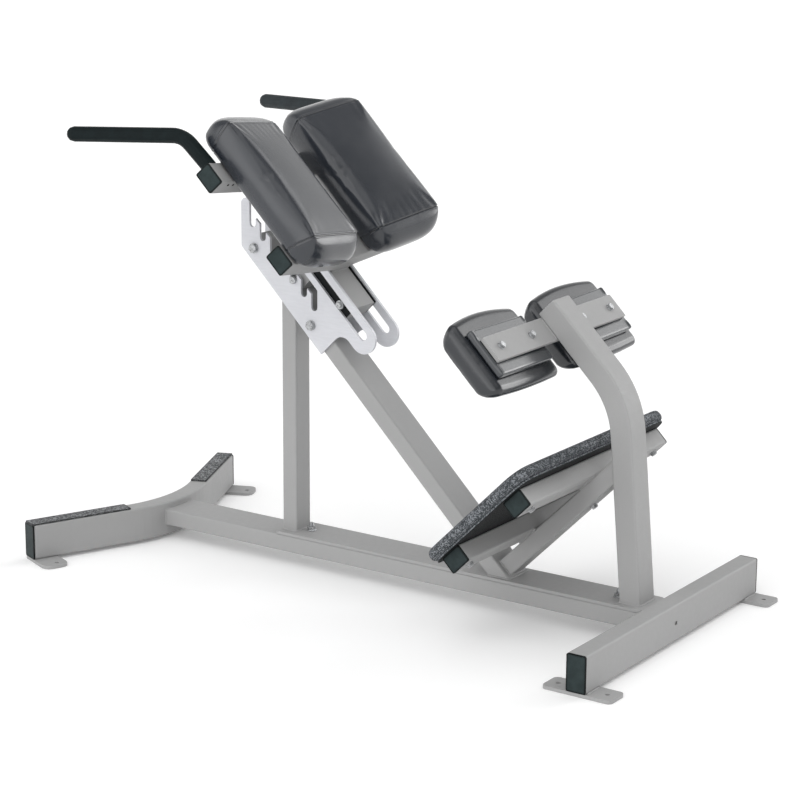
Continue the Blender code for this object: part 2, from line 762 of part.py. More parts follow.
def diagonal(bench):
    foot_s = DIAGONAL_TOP_N - STRIP_TOP * ROOT2 + TRIM
    height = DIAGONAL_TOP_N - DIAGONAL_LOW_N
    length = foot_s - DIAGONAL_TIP_S
    obj = block("diagonal_tube", (2 * DIAGONAL_HALF, height, length), TUBE_EDGE, "X")
    middle = ((foot_s + DIAGONAL_TIP_S) / 2, 0.0, (DIAGONAL_TOP_N + DIAGONAL_LOW_N) / 2)
    bench.place(smooth(obj), bench.slope, middle, "frame_paint")
    inside_size = (2 * (DIAGONAL_HALF - WALL), height - 2 * WALL, length)
    inside = block("diagonal_inside", inside_size, 0.0, "X")
    bench.cut(obj, inside, bench.slope, (middle[0] + WALL * 2, 0.0, middle[2]))
    floor_cut = block("diagonal_floor_cut", (CUT_REACH, CUT_REACH, CUT_DEPTH))
    bench.cut(obj, floor_cut, bench.root, (DIAGONAL_FOOT_X, 0.0, floor_cut_z()))
    for index, place in enumerate(PLATE_BOLTS_S):
        hole = circle((0.0, 0.0), BOLT_SHANK / 2 + HOLE_PLAY)
        drill = extruded("diagonal_drill_%d" % index, [hole], CROSS_DRILL, "Y")
        bench.cut(obj, drill, bench.slope, (place, 0.0, PLATE_BOLT_N))


def floor_cut_z():
    """The middle height of a cutter whose top lies on the mount strip."""
    return STRIP_TOP + SEAT - CUT_DEPTH / 2


def post_lean_x(height):
    """The middle of the rear post's lower leg at a height."""
    return REAR_POST_X - math.tan(REAR_POST_LEAN) * (height - STRIP_TOP)


def strut(bench):
    low_n = DIAGONAL_TOP_N + SEAT
    high_n = REAR_POST_FACE_N
    obj = tube("foot_strut", STRUT_DEPTH, 2 * STRUT_HALF, high_n - low_n, "Z")
    middle = (STRUT_S + STRUT_DEPTH / 2, 0.0, (high_n + low_n) / 2)
    bench.place(smooth(obj), bench.slope, middle, "frame_paint")
    floor_cut = block("strut_floor_cut", (CUT_REACH, CUT_REACH, CUT_DEPTH))
    bench.cut(obj, floor_cut, bench.root, (DIAGONAL_FOOT_X, 0.0, floor_cut_z()))
    post_cut = block("strut_post_cut", (CUT_DEPTH, CUT_REACH, CUT_REACH))
    face_x = post_lean_x(STRUT_MEETS_Z) - (REAR_POST_THICK / 2 + SEAT) / math.cos(REAR_POST_LEAN)
    place_x = face_x + CUT_DEPTH / 2 * math.cos(REAR_POST_LEAN)
    place_z = STRUT_MEETS_Z + CUT_DEPTH / 2 * math.sin(REAR_POST_LEAN)
    bench.cut(obj, post_cut, bench.root, (place_x, 0.0, place_z))
    post_cut.rotation_euler = (0.0, -REAR_POST_LEAN, 0.0)


def foot_tubes(bench):
    middle_s = STRUT_S - SEAT - FOOT_TUBE_DEPTH / 2
    length = 2 * (FOOT_TUBE_HALF - CAP_LIP)
    for level, middle_n in (("upper", FOOT_TUBE_UPPER_N), ("lower", FOOT_TUBE_LOWER_N)):
        obj = tube("foot_tube_" + level, FOOT_TUBE_DEPTH, FOOT_TUBE_HEIGHT, length, "Y")
        bench.place(smooth(obj), bench.slope, (middle_s, 0.0, middle_n), "frame_paint")
        for side, sign in (("near", -1), ("far", 1)):
            name = "foot_cap_%s_%s" % (level, side)
            cap = plug_cap(name, FOOT_TUBE_DEPTH, FOOT_TUBE_HEIGHT, "Y", sign)
            middle_y = sign * (FOOT_TUBE_HALF - CAP_LIP / 2 + SEAT)
            bench.place(cap, bench.slope, (middle_s, middle_y, middle_n), "black_plastic")


def foot_board(bench):
    high = FOOT_BOARD_HIGH_N - FOOT_BOARD_LOW_N
    middle_n = (FOOT_BOARD_HIGH_N + FOOT_BOARD_LOW_N) / 2
    outline = rounded_rect(2 * FOOT_BOARD_HALF, high, FOOT_BOARD_CORNER, FOOT_BOARD_STEPS)
    board_outline = rounded_rect(
        2 * (FOOT_BOARD_HALF - FOOT_BOARD_INSET),
        high - 2 * FOOT_BOARD_INSET,
        FOOT_BOARD_CORNER - FOOT_BOARD_INSET,
        FOOT_BOARD_STEPS,
    )
    tube_face = STRUT_S - SEAT - FOOT_TUBE_DEPTH
    board = smooth(extruded("foot_board", [board_outline], FOOT_BOARD_THICK, "X"))
    board_s = tube_face - SEAT - FOOT_BOARD_THICK / 2
    bench.place(board, bench.slope, (board_s, 0.0, middle_n), "board_black")
    tread = smooth(extruded("foot_tread", [outline], TREAD_THICK, "X"))
    softened(tread, TREAD_EDGE, TREAD_EDGE_STEPS)
    tread_s = board_s - FOOT_BOARD_THICK / 2 - SEAT - TREAD_THICK / 2
    bench.place(tread, bench.slope, (tread_s, 0.0, middle_n), "tread_rubber")


# Rear post and ankle pads


def rear_post_path(low, tip_s):
    """The middle line of the bent rear post in the side view."""
    middle_n = REAR_POST_FACE_N + REAR_POST_THICK / 2
    start = Vector((post_lean_x(low), low))
    tip = Vector(to_side(tip_s, middle_n))
    lean = math.tan(REAR_POST_LEAN)
    corner_z = (middle_n * ROOT2 - REAR_POST_X - lean * STRIP_TOP) / (1.0 - lean)
    corner = (post_lean_x(corner_z), corner_z)
    bend = fillet(start, corner, tip, REAR_POST_BEND, REAR_POST_STEPS)
    return [tuple(start)] + bend + [tuple(tip)]


def rear_post(bench):
    outline = band(rear_post_path(STRIP_TOP - CUT_PAST, REAR_POST_TIP_S), REAR_POST_THICK / 2)
    obj = extruded("rear_post", [outline], 2 * REAR_POST_HALF, "Y")
    softened(smooth(obj), TUBE_EDGE, ARC_STEPS)
    bench.place(obj, bench.root, (0.0, 0.0, 0.0), "frame_paint")
    inner_path = rear_post_path(STRIP_TOP - 2 * CUT_PAST, REAR_POST_TIP_S + WALL * 2)
    inner = band(inner_path, REAR_POST_THICK / 2 - WALL)
    inside = extruded("rear_post_inside", [inner], 2 * (REAR_POST_HALF - WALL), "Y")
    bench.cut(obj, inside, bench.root, (0.0, 0.0, 0.0))
    floor_cut = block("rear_post_floor_cut", (CUT_REACH, CUT_REACH, CUT_DEPTH))
    bench.cut(obj, floor_cut, bench.root, (REAR_POST_X, 0.0, floor_cut_z()))


def ankle_bar(bench):
    outline = rounded_rect(ANKLE_BAR_WIDTH, 2 * ANKLE_BAR_HALF, ANKLE_BAR_CORNER, EDGE_STEPS)
    hole_radius = BOLT_SHANK / 2 + HOLE_PLAY
    places = [sign * place for place in ANKLE_BOLTS_Y for sign in (-1, 1)]
    holes = [circle((0.0, place), hole_radius) for place in places]
    obj = smooth(extruded("ankle_bar", [outline] + holes, ANKLE_BAR_THICK))
    middle_s = ANKLE_BAR_LOW_S - ANKLE_BAR_WIDTH / 2
    middle_n = REAR_POST_FACE_N - SEAT - ANKLE_BAR_THICK / 2
    bench.place(obj, bench.slope, (middle_s, 0.0, middle_n), "frame_paint")
    for side, sign in (("near", -1), ("far", 1)):
        for number, place in enumerate(ANKLE_BOLTS_Y):
            name = "ankle_bolt_%s_%s" % (side, ("inner", "outer")[number])
            bolt = hex_bolt(name, ANKLE_BOLT_LENGTH)
            bolt_place = (middle_s, sign * place, REAR_POST_FACE_N)
            bench.place(smooth(bolt), bench.slope, bolt_place, "steel")


def ankle_pads(bench):
    middle_s = ANKLE_BAR_LOW_S - ANKLE_BAR_WIDTH / 2
    back_n = REAR_POST_FACE_N - 2 * SEAT - ANKLE_BAR_THICK
    for side, sign in (("near", -1), ("far", 1)):
        tilt_place = (middle_s, sign * ANKLE_BAR_HALF, back_n)
        tilt = bench.empty("ankle_tilt_" + side, bench.slope, tilt_place)
        tilt.rotation_euler = (sign * ANKLE_TILT, 0.0, 0.0)
        board_y = sign * (ANKLE_BOARD_MID_Y - ANKLE_BAR_HALF)
        outline = rounded_rect(ANKLE_BOARD_WIDTH, ANKLE_BOARD_LENGTH, ANKLE_BOARD_CORNER)
        radius = BOLT_SHANK / 2 + ANKLE_BOARD_PLAY
        middles = [(0.0, sign * (place - ANKLE_BAR_HALF) - board_y) for place in ANKLE_BOLTS_Y]
        holes = [circle(middle, radius) for middle in middles]
        board = extruded("ankle_board_" + side, [outline] + holes, ANKLE_BOARD_THICK)
        softened(smooth(board), ANKLE_BOARD_EDGE, EDGE_STEPS)
        bench.place(board, tilt, (0.0, board_y, -ANKLE_BOARD_THICK / 2), "pad_vinyl")
        pad = ankle_cushion("ankle_pad_" + side)
        pad_y = sign * (ANKLE_PAD_MID_Y - ANKLE_BAR_HALF)
        pad_n = -ANKLE_BOARD_THICK - SEAT
        bench.place(smooth(pad, PAD_SMOOTH), tilt, (-ANKLE_PAD_LIFT, pad_y, pad_n), "pad_vinyl")


# Cushions


def cushion_cuts(half, radius):
    """Where a cushion's grid lines cut an axis, closer together on its rounded edges."""
    flat = half - radius
    inner = CUSHION_CELLS // 2 - CUSHION_EDGE_CELLS
    cuts = [flat * index / inner for index in range(inner + 1)]
    for index in range(1, CUSHION_EDGE_CELLS + 1):
        turn = math.radians(45.0) * index / CUSHION_EDGE_CELLS
        cuts.append(flat + radius * math.tan(turn))
    return cuts


def grid_box(name, half, radius):
    """A box of a grid primitive with rounded edges."""
    work = bmesh.new()
    bmesh.ops.create_cube(work, size=2.0)
    bmesh.ops.subdivide_edges(work, edges=work.edges, cuts=CUSHION_CELLS - 1, use_grid_fill=True)
    cuts = [cushion_cuts(size, radius) for size in half]
    for vertex in work.verts:
        steps = [round(abs(value) * CUSHION_CELLS / 2) for value in vertex.co]
        place = [math.copysign(cuts[axis][steps[axis]], vertex.co[axis]) for axis in range(3)]
        place = Vector([value if steps[axis] else 0.0 for axis, value in enumerate(place)])
        reach = [half[axis] - radius for axis in range(3)]
        core = Vector([max(-reach[axis], min(reach[axis], place[axis])) for axis in range(3)])
        out = place - core
        vertex.co = core + out.normalized() * radius if out.length > 0.0 else place
    mesh = bpy.data.meshes.new(name)
    work.to_mesh(mesh)
    work.free()
    return bpy.data.objects.new(name, mesh)


def on_seam(vertex, half, axis):
    """True where an end panel's seam runs: the edges that the end shares with top and sides."""
    past = [abs(vertex.co[other]) > half[other] - PAD_EDGE for other in range(3)]
    depth = [abs(vertex.co[other]) - (half[other] - PAD_EDGE) for other in range(3)]
    others = [depth[other] for other in range(3) if other != axis and past[other]]
    return past[axis] and bool(others) and abs(max(others) - depth[axis]) < MERGE


def sewn(obj, half, axis):
    """Draws a cushion in along the seams of its two end panels."""
    for vertex in obj.data.vertices:
        if not on_seam(vertex, half, axis):
            continue
        core = [max(-(half[i] - PAD_EDGE), min(half[i] - PAD_EDGE, vertex.co[i])) for i in range(3)]
        vertex.co -= (vertex.co - Vector(core)).normalized() * SEAM_DEPTH
    return obj


def hip_cushion(name, outward):
    """A boxed cushion: crowned top, full ends with rounder outward corners, drawn in below."""
    half = (PAD_LENGTH / 2, PAD_WIDTH / 2, PAD_THICK / 2)
    obj = sewn(grid_box(name, half, PAD_EDGE), half, 0)
    for vertex in obj.data.vertices:
        u = vertex.co.x / half[0]
        v = vertex.co.y / half[1]
        w = vertex.co.z / half[2]
        depth = max(0.0, (1.0 - w) / 2)
        end = PAD_END_BULGE * math.sin(min(1.0, depth / PAD_END_FULL) * math.pi / 2)
        end -= PAD_END_TUCK * max(0.0, (depth - PAD_END_FULL) / (1.0 - PAD_END_FULL)) ** 2
        power = PAD_OUTER_POWER if v * outward > 0.0 else PAD_INNER_POWER
        end *= math.sqrt(1.0 - min(1.0, abs(v)) ** power)
        side = PAD_SIDE_BULGE * math.cos(w * math.pi / 2)
        vertex.co.x += end * math.copysign(abs(u) ** SEAM_SIDE_POWER, u)
        vertex.co.y += side * math.copysign(abs(v) ** SEAM_SIDE_POWER, v)
        if w > 0.0:
            vertex.co.z += PAD_CROWN * w * (1.0 - min(1.0, u * u)) * (1.0 - min(1.0, v * v))
        else:
            vertex.co.y *= 1.0 + PAD_TUCK * w
    obj.data.transform(Matrix.Translation((0.0, 0.0, half[2])))
    return obj


def ankle_cushion(name):
    """A D-shaped cushion: flat back at z = 0, round front below it, full ends."""
    half = (ANKLE_PAD_WIDTH / 2, ANKLE_PAD_LENGTH / 2, ANKLE_PAD_DEPTH / 2)
    obj = sewn(grid_box(name, half, ANKLE_PAD_EDGE), half, 1)
    for vertex in obj.data.vertices:
        w = vertex.co.z / half[2]
        v = vertex.co.y / half[1]
        front = max(0.0, (1.0 - w) / 2)
        rounding, barrel = ANKLE_PAD_ROUND_UP, ANKLE_PAD_BARREL_UP
        if vertex.co.x > 0.0:
            rounding, barrel = ANKLE_PAD_ROUND_DOWN, ANKLE_PAD_BARREL_DOWN
        vertex.co.x *= 1.0 - rounding * front ** ANKLE_PAD_ROUND_POWER
        vertex.co.x *= 1.0 + barrel * (1.0 - min(1.0, v * v))
        u = vertex.co.x / half[0]
        crown = (1.0 - min(1.0, u * u)) * (1.0 - min(1.0, v * v))
        end = ANKLE_PAD_BULGE * math.cos(w * math.pi / 2)
        vertex.co.z -= ANKLE_PAD_CROWN * front * crown
        vertex.co.y += end * math.copysign(abs(v) ** ANKLE_PAD_BULGE_POWER, v)
    obj.data.transform(Matrix.Translation((0.0, 0.0, -half[2])))
    return obj


# Side plates


def notch_floor(index):
    """The x of a notch's middle and the z of its floor."""
    step = NOTCH_PITCH / ROOT2
    return (NOTCH_FIRST_X + index * step, NOTCH_FIRST_Z - index * step)


def notch_outline():
    """The saw-like run of notches, from the front finger to the last notch."""
    points = []
    half = NOTCH_WIDTH / 2
    for index in range(NOTCH_COUNT):
        middle, floor = notch_floor(index)
        if index > 0:
            points.append((middle - half, floor + TOOTH_SHOULDER))
        points.extend(arc((middle, floor + half), half, 180.0, 360.0, ARC_STEPS * 2))
        if index < NOTCH_COUNT - 1:
            points.append((middle + half, floor + TOOTH_RISE))
    return points


def plate_outline():
    finger = (NOTCH_FIRST_X - NOTCH_WIDTH / 2 - PLATE_FRONT_X) / 2
    finger_middle = (PLATE_FRONT_X + finger, PLATE_FINGER_TOP - finger)
    points = arc(finger_middle, finger, 180.0, 0.0, ARC_STEPS * 2)
    points.extend(notch_outline())
    last_x = notch_floor(NOTCH_COUNT - 1)[0] + NOTCH_WIDTH / 2
    last = (last_x, PLATE_CHANNEL_N * ROOT2 - last_x)
    arm_low = to_side(PLATE_ARM_END_S, PLATE_CHANNEL_N)
    arm_high = to_side(PLATE_ARM_END_S, PLATE_TOP_N)
    lobe_n = PLATE_TOP_N - LOBE_RADIUS
    lobe_top = to_side(LOBE_S, PLATE_TOP_N)
    below = (last_x, last[1] - PLATE_CHANNEL_DROP)
    points.extend(fillet(below, last, arm_low, PLATE_CHANNEL_CORNER, ARC_STEPS + 1))
    points.extend(fillet(last, arm_low, arm_high, PLATE_ARM_CORNER, ARC_STEPS))
    points.extend(fillet(arm_low, arm_high, lobe_top, PLATE_ARM_CORNER, ARC_STEPS))
    lobe = arc((LOBE_S, lobe_n), LOBE_RADIUS, 90.0, -90.0, LOBE_STEPS)
    points.extend(to_side(s, n) for s, n in lobe)
    fillet_s = PLATE_END_S + PLATE_END_FILLET
    fillet_n = lobe_n - LOBE_RADIUS - PLATE_END_FILLET
    hollow = arc((fillet_s, fillet_n), PLATE_END_FILLET, 90.0, 180.0, HOLLOW_STEPS)
    points.extend(to_side(s, n) for s, n in hollow)
    points.append(to_side(PLATE_END_S, PLATE_LOW_N))
    points.append((PLATE_FRONT_X, PLATE_LOW_N * ROOT2 - PLATE_FRONT_X))
    return points


def plate_slot():
    half = SLOT_WIDTH / 2
    low = arc((SLOT_LOW_S, SLOT_N), half, -90.0, 90.0, HOLLOW_STEPS)
    high = arc((SLOT_HIGH_S, SLOT_N), half, 90.0, 270.0, HOLLOW_STEPS)
    return [to_side(s, n) for s, n in low + high]


def side_plates(bench):
    middles = [to_side(place, PLATE_BOLT_N) for place in PLATE_BOLTS_S]
    holes = [circle(middle, BOLT_SHANK / 2 + HOLE_PLAY) for middle in middles]
    outlines = [plate_outline(), plate_slot()] + holes
    for side, sign in (("near", -1), ("far", 1)):
        obj = extruded("side_plate_" + side, outlines, PLATE_THICK, "Y")
        softened(smooth(obj, PLATE_SMOOTH), PLATE_EDGE)
        middle_y = sign * (PLATE_INNER + PLATE_THICK / 2)
        bench.place(obj, bench.root, (0.0, middle_y, 0.0), "plate_paint")
    for number, place in enumerate(PLATE_BOLTS_S):
        name = "plate_bolt_" + ("upper", "lower")[number]
        grip = 2 * (PLATE_OUTER + SEAT)
        bolt = hex_bolt(name, grip + PLATE_BOLT_TAIL, nut_at=grip)
        bolt.data.transform(Matrix.Rotation(math.radians(90.0), 4, "X"))
        bolt_place = (place, -PLATE_OUTER - SEAT, PLATE_BOLT_N)
        bench.place(smooth(bolt), bench.slope, bolt_place, "steel")


# Pad carriage


def on_carriage(s, y, n):
    """A place on the slope, counted from the carriage's pivot."""
    return (s - GUIDE_S, y, n - SLOT_N)


def guide_bolt(bench):
    outside = PLATE_OUTER + SEAT
    inside = PLATE_INNER + SEAT
    half_length = outside + BOLT_HEAD_HEIGHT
    bush = GUIDE_BUSH / 2
    head = GUIDE_HEAD / 2
    shaft = GUIDE_SHAFT / 2
    upper = [
        (0.0, half_length),
        (head - HEAD_CHAMFER, half_length),
        (head, half_length - HEAD_CHAMFER),
        (head, outside),
        (bush, outside),
        (bush, inside),
        (shaft, inside),
    ]
    lower = [(radius, -height) for radius, height in reversed(upper)]
    obj = turned("guide_bolt", upper + lower, PIN_STEPS, "Y")
    bench.place(smooth(obj), bench.guide, (0.0, 0.0, 0.0), "steel")


def notch_pin(bench):
    outside = PLATE_OUTER + SEAT
    end = outside + PIN_HEAD_LENGTH
    head = PIN_HEAD / 2
    shaft = PIN_DIAMETER / 2
    upper = [
        (0.0, end),
        (head - HEAD_CHAMFER, end),
        (head, end - HEAD_CHAMFER),
        (head, outside),
        (shaft, outside),
    ]
    lower = [(radius, -height) for radius, height in reversed(upper)]
    obj = turned("notch_pin", upper + lower, PIN_STEPS, "Y")
    bench.place(smooth(obj), bench.carriage, on_carriage(PIN_S, 0.0, PIN_N), "steel")


def carriage_tube(bench):
    length = CARRIAGE_LOW_S - CARRIAGE_HIGH_S
    height = CARRIAGE_TOP_N - CARRIAGE_LOW_N
    middle_s = (CARRIAGE_LOW_S + CARRIAGE_HIGH_S) / 2
    middle_n = (CARRIAGE_TOP_N + CARRIAGE_LOW_N) / 2
    place = on_carriage(middle_s, 0.0, middle_n)
    obj = block("carriage_tube", (2 * CARRIAGE_HALF, height, length), CARRIAGE_EDGE, "X")
    bench.place(smooth(obj), bench.carriage, place, "frame_paint")
    inside_size = (2 * (CARRIAGE_HALF - WALL), height - 2 * WALL, length)
    inside = block("carriage_inside", inside_size, 0.0, "X")
    bench.cut(obj, inside, bench.carriage, (place[0] - WALL * 2, place[1], place[2]))
    hole = circle((0.0, 0.0), GUIDE_SHAFT / 2 + HOLE_PLAY, PIN_STEPS)
    drill = extruded("carriage_drill", [hole], CROSS_DRILL, "Y")
    bench.cut(obj, drill, bench.carriage, (0.0, 0.0, 0.0))


def glides(bench):
    length = CARRIAGE_LOW_S - CARRIAGE_HIGH_S
    low = CARRIAGE_LOW_N
    high = CARRIAGE_TOP_N + GLIDE_PROUD
    thick = PLATE_INNER - GLIDE_PLAY - CARRIAGE_HALF - SEAT
    middle_s = (CARRIAGE_LOW_S + CARRIAGE_HIGH_S) / 2
    place = on_carriage(middle_s, 0.0, (low + high) / 2)
    outline = rounded_rect(length, high - low, GLIDE_CORNER, EDGE_STEPS)
    hole = circle((-place[0], -place[2]), GUIDE_SHAFT / 2 + HOLE_PLAY, PIN_STEPS)
    for side, sign in (("near", -1), ("far", 1)):
        obj = extruded("glide_" + side, [outline, hole], thick, "Y")
        middle_y = sign * (CARRIAGE_HALF + SEAT + thick / 2)
        glide_place = (place[0], middle_y, place[2])
        bench.place(smooth(obj), bench.carriage, glide_place, "black_plastic")


def pin_bracket(bench):
    top = CARRIAGE_LOW_N - SEAT
    middle_n = top - BRACKET_DROP / 2
    place = on_carriage(PIN_S, 0.0, middle_n)
    outline = rounded_rect(BRACKET_LENGTH, BRACKET_DROP, BRACKET_CORNER, EDGE_STEPS)
    hole = circle((0.0, PIN_N - middle_n), PIN_DIAMETER / 2 + HOLE_PLAY, PIN_STEPS)
    obj = extruded("pin_bracket", [outline, hole], 2 * BRACKET_HALF, "Y")
    bench.place(smooth(obj), bench.carriage, place, "frame_paint")


def vee_outline(half_length, inset, flat):
    """The shallow V of a pad tube seen along the slope, or of its hollow."""
    rise = math.tan(VEE_TILT)
    vertical = VEE_THICK / math.cos(VEE_TILT)
    drop = inset / math.cos(VEE_TILT)
    top = VEE_TOP_N - drop
    low = VEE_TOP_N - vertical + drop
    lean = VEE_THICK * math.sin(VEE_TILT) / 2
    end_top = half_length - lean
    end_low = half_length + lean
    points = [
        (-end_top, top + rise * end_top),
        (0.0, top),
        (end_top, top + rise * end_top),
        (end_low, low + rise * end_low),
    ]
    if flat:
        shoulder = low + rise * flat
        points.extend([(flat, shoulder), (flat, low), (-flat, low), (-flat, shoulder)])
    else:
        points.append((0.0, low))
    points.append((-end_low, low + rise * end_low))
    return points


def vee_tubes(bench):
    sizes = (("upper", VEE_UPPER_S, VEE_UPPER_HALF), ("lower", VEE_LOWER_S, VEE_LOWER_HALF))
    for level, middle_s, half in sizes:
        tube_half = half - CAP_LIP
        saddle = CARRIAGE_HALF - VEE_SADDLE_PLAY
        obj = extruded("pad_tube_" + level, [vee_outline(tube_half, 0.0, saddle)], VEE_DEPTH, "X")
        softened(smooth(obj), VEE_EDGE, EDGE_STEPS, VEE_BEND_ANGLE)
        place = on_carriage(middle_s, 0.0, 0.0)
        bench.place(obj, bench.carriage, place, "frame_paint")
        hollow = vee_outline(half + CAP_LIP, WALL, None)
        inside = extruded("pad_tube_inside_" + level, [hollow], VEE_DEPTH - 2 * WALL, "X")
        bench.cut(obj, inside, bench.carriage, place)
        for side, sign in (("near", -1), ("far", 1)):
            cap_name = "pad_cap_%s_%s" % (level, side)
            cap = plug_cap(cap_name, VEE_DEPTH, VEE_THICK, "Y", sign)
            middle_y = half - CAP_LIP / 2 + SEAT
            middle_n = VEE_TOP_N - VEE_THICK / 2 / math.cos(VEE_TILT)
            middle_n += math.tan(VEE_TILT) * middle_y
            cap_place = on_carriage(middle_s, sign * middle_y, middle_n)
            bench.place(cap, bench.carriage, cap_place, "black_plastic")
            cap.rotation_euler = (sign * VEE_TILT, 0.0, 0.0)


def hip_pads(bench):
    for side, sign in (("near", -1), ("far", 1)):
        lift = SEAT / math.cos(VEE_TILT)
        tilt_place = on_carriage(PAD_MID_S, 0.0, VEE_TOP_N + lift)
        tilt = bench.empty("pad_tilt_" + side, bench.carriage, tilt_place)
        tilt.rotation_euler = (sign * VEE_TILT, 0.0, 0.0)
        middle_y = sign * (PAD_INNER_Y / math.cos(VEE_TILT) + PAD_WIDTH / 2)
        middle_y += sign * PAD_THICK * math.sin(VEE_TILT)
        length = PAD_LENGTH - 2 * PAD_BOARD_MARGIN
        width = PAD_WIDTH - 2 * PAD_BOARD_MARGIN
        board = block("hip_board_" + side, (length, width, PAD_BOARD_THICK), PAD_BOARD_CORNER)
        board_place = (0.0, middle_y, PAD_BOARD_THICK / 2)
        bench.place(smooth(board), tilt, board_place, "board_black")
        pad = hip_cushion("hip_pad_" + side, sign)
        bench.place(smooth(pad, PAD_SMOOTH), tilt, (0.0, middle_y, 0.0), "pad_vinyl")
        pocket_size = (length + 2 * SEAT, width + 2 * SEAT, 2 * (PAD_BOARD_THICK + SEAT))
        pocket = block("hip_pocket_" + side, pocket_size, PAD_BOARD_CORNER + SEAT)
        bench.cut(pad, pocket, tilt, (0.0, middle_y, 0.0))


def handles(bench):
    for side, sign in (("near", -1), ("far", 1)):
        corners = (HANDLE_FOOT, HANDLE_ELBOW, HANDLE_TIP)
        foot, elbow, tip = [Vector((s, sign * y, n)) for s, y, n in corners]
        path = [tuple(foot)] + fillet(foot, elbow, tip, HANDLE_BEND, HANDLE_BEND_STEPS)
        radius = HANDLE_DIAMETER / 2
        along = (tip - elbow).normalized()
        curve = bpy.data.curves.new("handle_" + side, "CURVE")
        curve.dimensions = "3D"
        curve.bevel_depth = radius
        curve.bevel_resolution = HANDLE_SIDES // 2 - 2
        curve.use_fill_caps = True
        places = [(point, 1.0) for point in path]
        for angle in HANDLE_END_ANGLES:
            forward = radius * math.sin(math.radians(angle))
            places.append((tuple(tip + along * forward), math.cos(math.radians(angle))))
        spline = curve.splines.new("POLY")
        spline.points.add(len(places) - 1)
        for point, (place, scale) in zip(spline.points, places):
            point.co = (place[0] - GUIDE_S, place[1], place[2] - SLOT_N, 1.0)
            point.radius = scale
        obj = tidied("handle_" + side, evaluated_mesh("handle_" + side, curve))
        bench.place(smooth(obj, HANDLE_SMOOTH), bench.carriage, (0.0, 0.0, 0.0), "grip_rubber")
        face = block("handle_foot_cut_" + side, (CUT_DEPTH, CUT_DEPTH, CUT_DEPTH))
        face_s = VEE_UPPER_S - VEE_DEPTH / 2 - SEAT + CUT_DEPTH / 2
        bench.cut(obj, face, bench.carriage, on_carriage(face_s, foot.y, foot.z))


def build():
    clear_scene()
    bench = Bench()
    crossbar(bench)
    rear_foot_plates(bench)
    front_bar(bench)
    front_caps(bench)
    front_strips(bench)
    front_tabs(bench)
    base_rail(bench)
    mount_strip(bench)
    front_post(bench)
    diagonal(bench)
    strut(bench)
    foot_tubes(bench)
    foot_board(bench)
    rear_post(bench)
    ankle_bar(bench)
    ankle_pads(bench)
    side_plates(bench)
    guide_bolt(bench)
    notch_pin(bench)
    carriage_tube(bench)
    glides(bench)
    pin_bracket(bench)
    vee_tubes(bench)
    hip_pads(bench)
    handles(bench)


build()
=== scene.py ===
"""Looks of the hyperextension bench: finishes, padded covers, small fittings, light and camera."""
import math
import random

import bpy
import numpy as np
from mathutils import Matrix, Vector, bvhtree, kdtree
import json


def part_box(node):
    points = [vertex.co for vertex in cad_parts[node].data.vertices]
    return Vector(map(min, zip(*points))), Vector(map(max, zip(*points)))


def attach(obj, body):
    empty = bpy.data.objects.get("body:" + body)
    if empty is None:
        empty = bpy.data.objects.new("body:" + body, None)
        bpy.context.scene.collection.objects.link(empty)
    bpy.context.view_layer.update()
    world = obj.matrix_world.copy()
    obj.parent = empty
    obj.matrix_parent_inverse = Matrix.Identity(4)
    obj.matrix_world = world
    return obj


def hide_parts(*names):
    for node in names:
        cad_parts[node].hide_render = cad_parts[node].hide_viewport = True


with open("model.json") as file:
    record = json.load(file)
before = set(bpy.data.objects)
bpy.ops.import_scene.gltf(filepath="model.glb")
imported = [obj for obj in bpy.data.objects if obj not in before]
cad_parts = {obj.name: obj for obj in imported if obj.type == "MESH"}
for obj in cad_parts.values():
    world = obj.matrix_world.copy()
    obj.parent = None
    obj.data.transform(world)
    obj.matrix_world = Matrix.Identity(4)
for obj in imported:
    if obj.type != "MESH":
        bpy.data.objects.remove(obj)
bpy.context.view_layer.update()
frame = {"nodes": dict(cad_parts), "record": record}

NODES = frame["nodes"]
ROOT2 = math.sqrt(2.0)
MM = 0.001
SIDES = (("near", -1), ("far", 1))

# Place of the slope's zero, as in the bench's source
REAR_X = 0.66555
SLOPE = Matrix.Translation((REAR_X, 0.0, 0.0)) @ Matrix.Rotation(math.radians(45.0), 4, "Y")


def on_slope(s, y, n):
    """A place on the slope: s down it towards the rear, n square to it and up."""
    return SLOPE @ Vector((s, y, n))


def tilted(angle):
    """The slope's axes, tilted about its length."""
    return SLOPE.to_3x3().to_4x4() @ Matrix.Rotation(angle, 4, "X")


def add_node(tree, kind, **settings):
    made = tree.nodes.new(kind)
    for key, value in settings.items():
        setattr(made, key, value)
    return made


def new_object(name, data):
    obj = bpy.data.objects.new(name, data)
    bpy.context.scene.collection.objects.link(obj)
    return obj


# Finishes


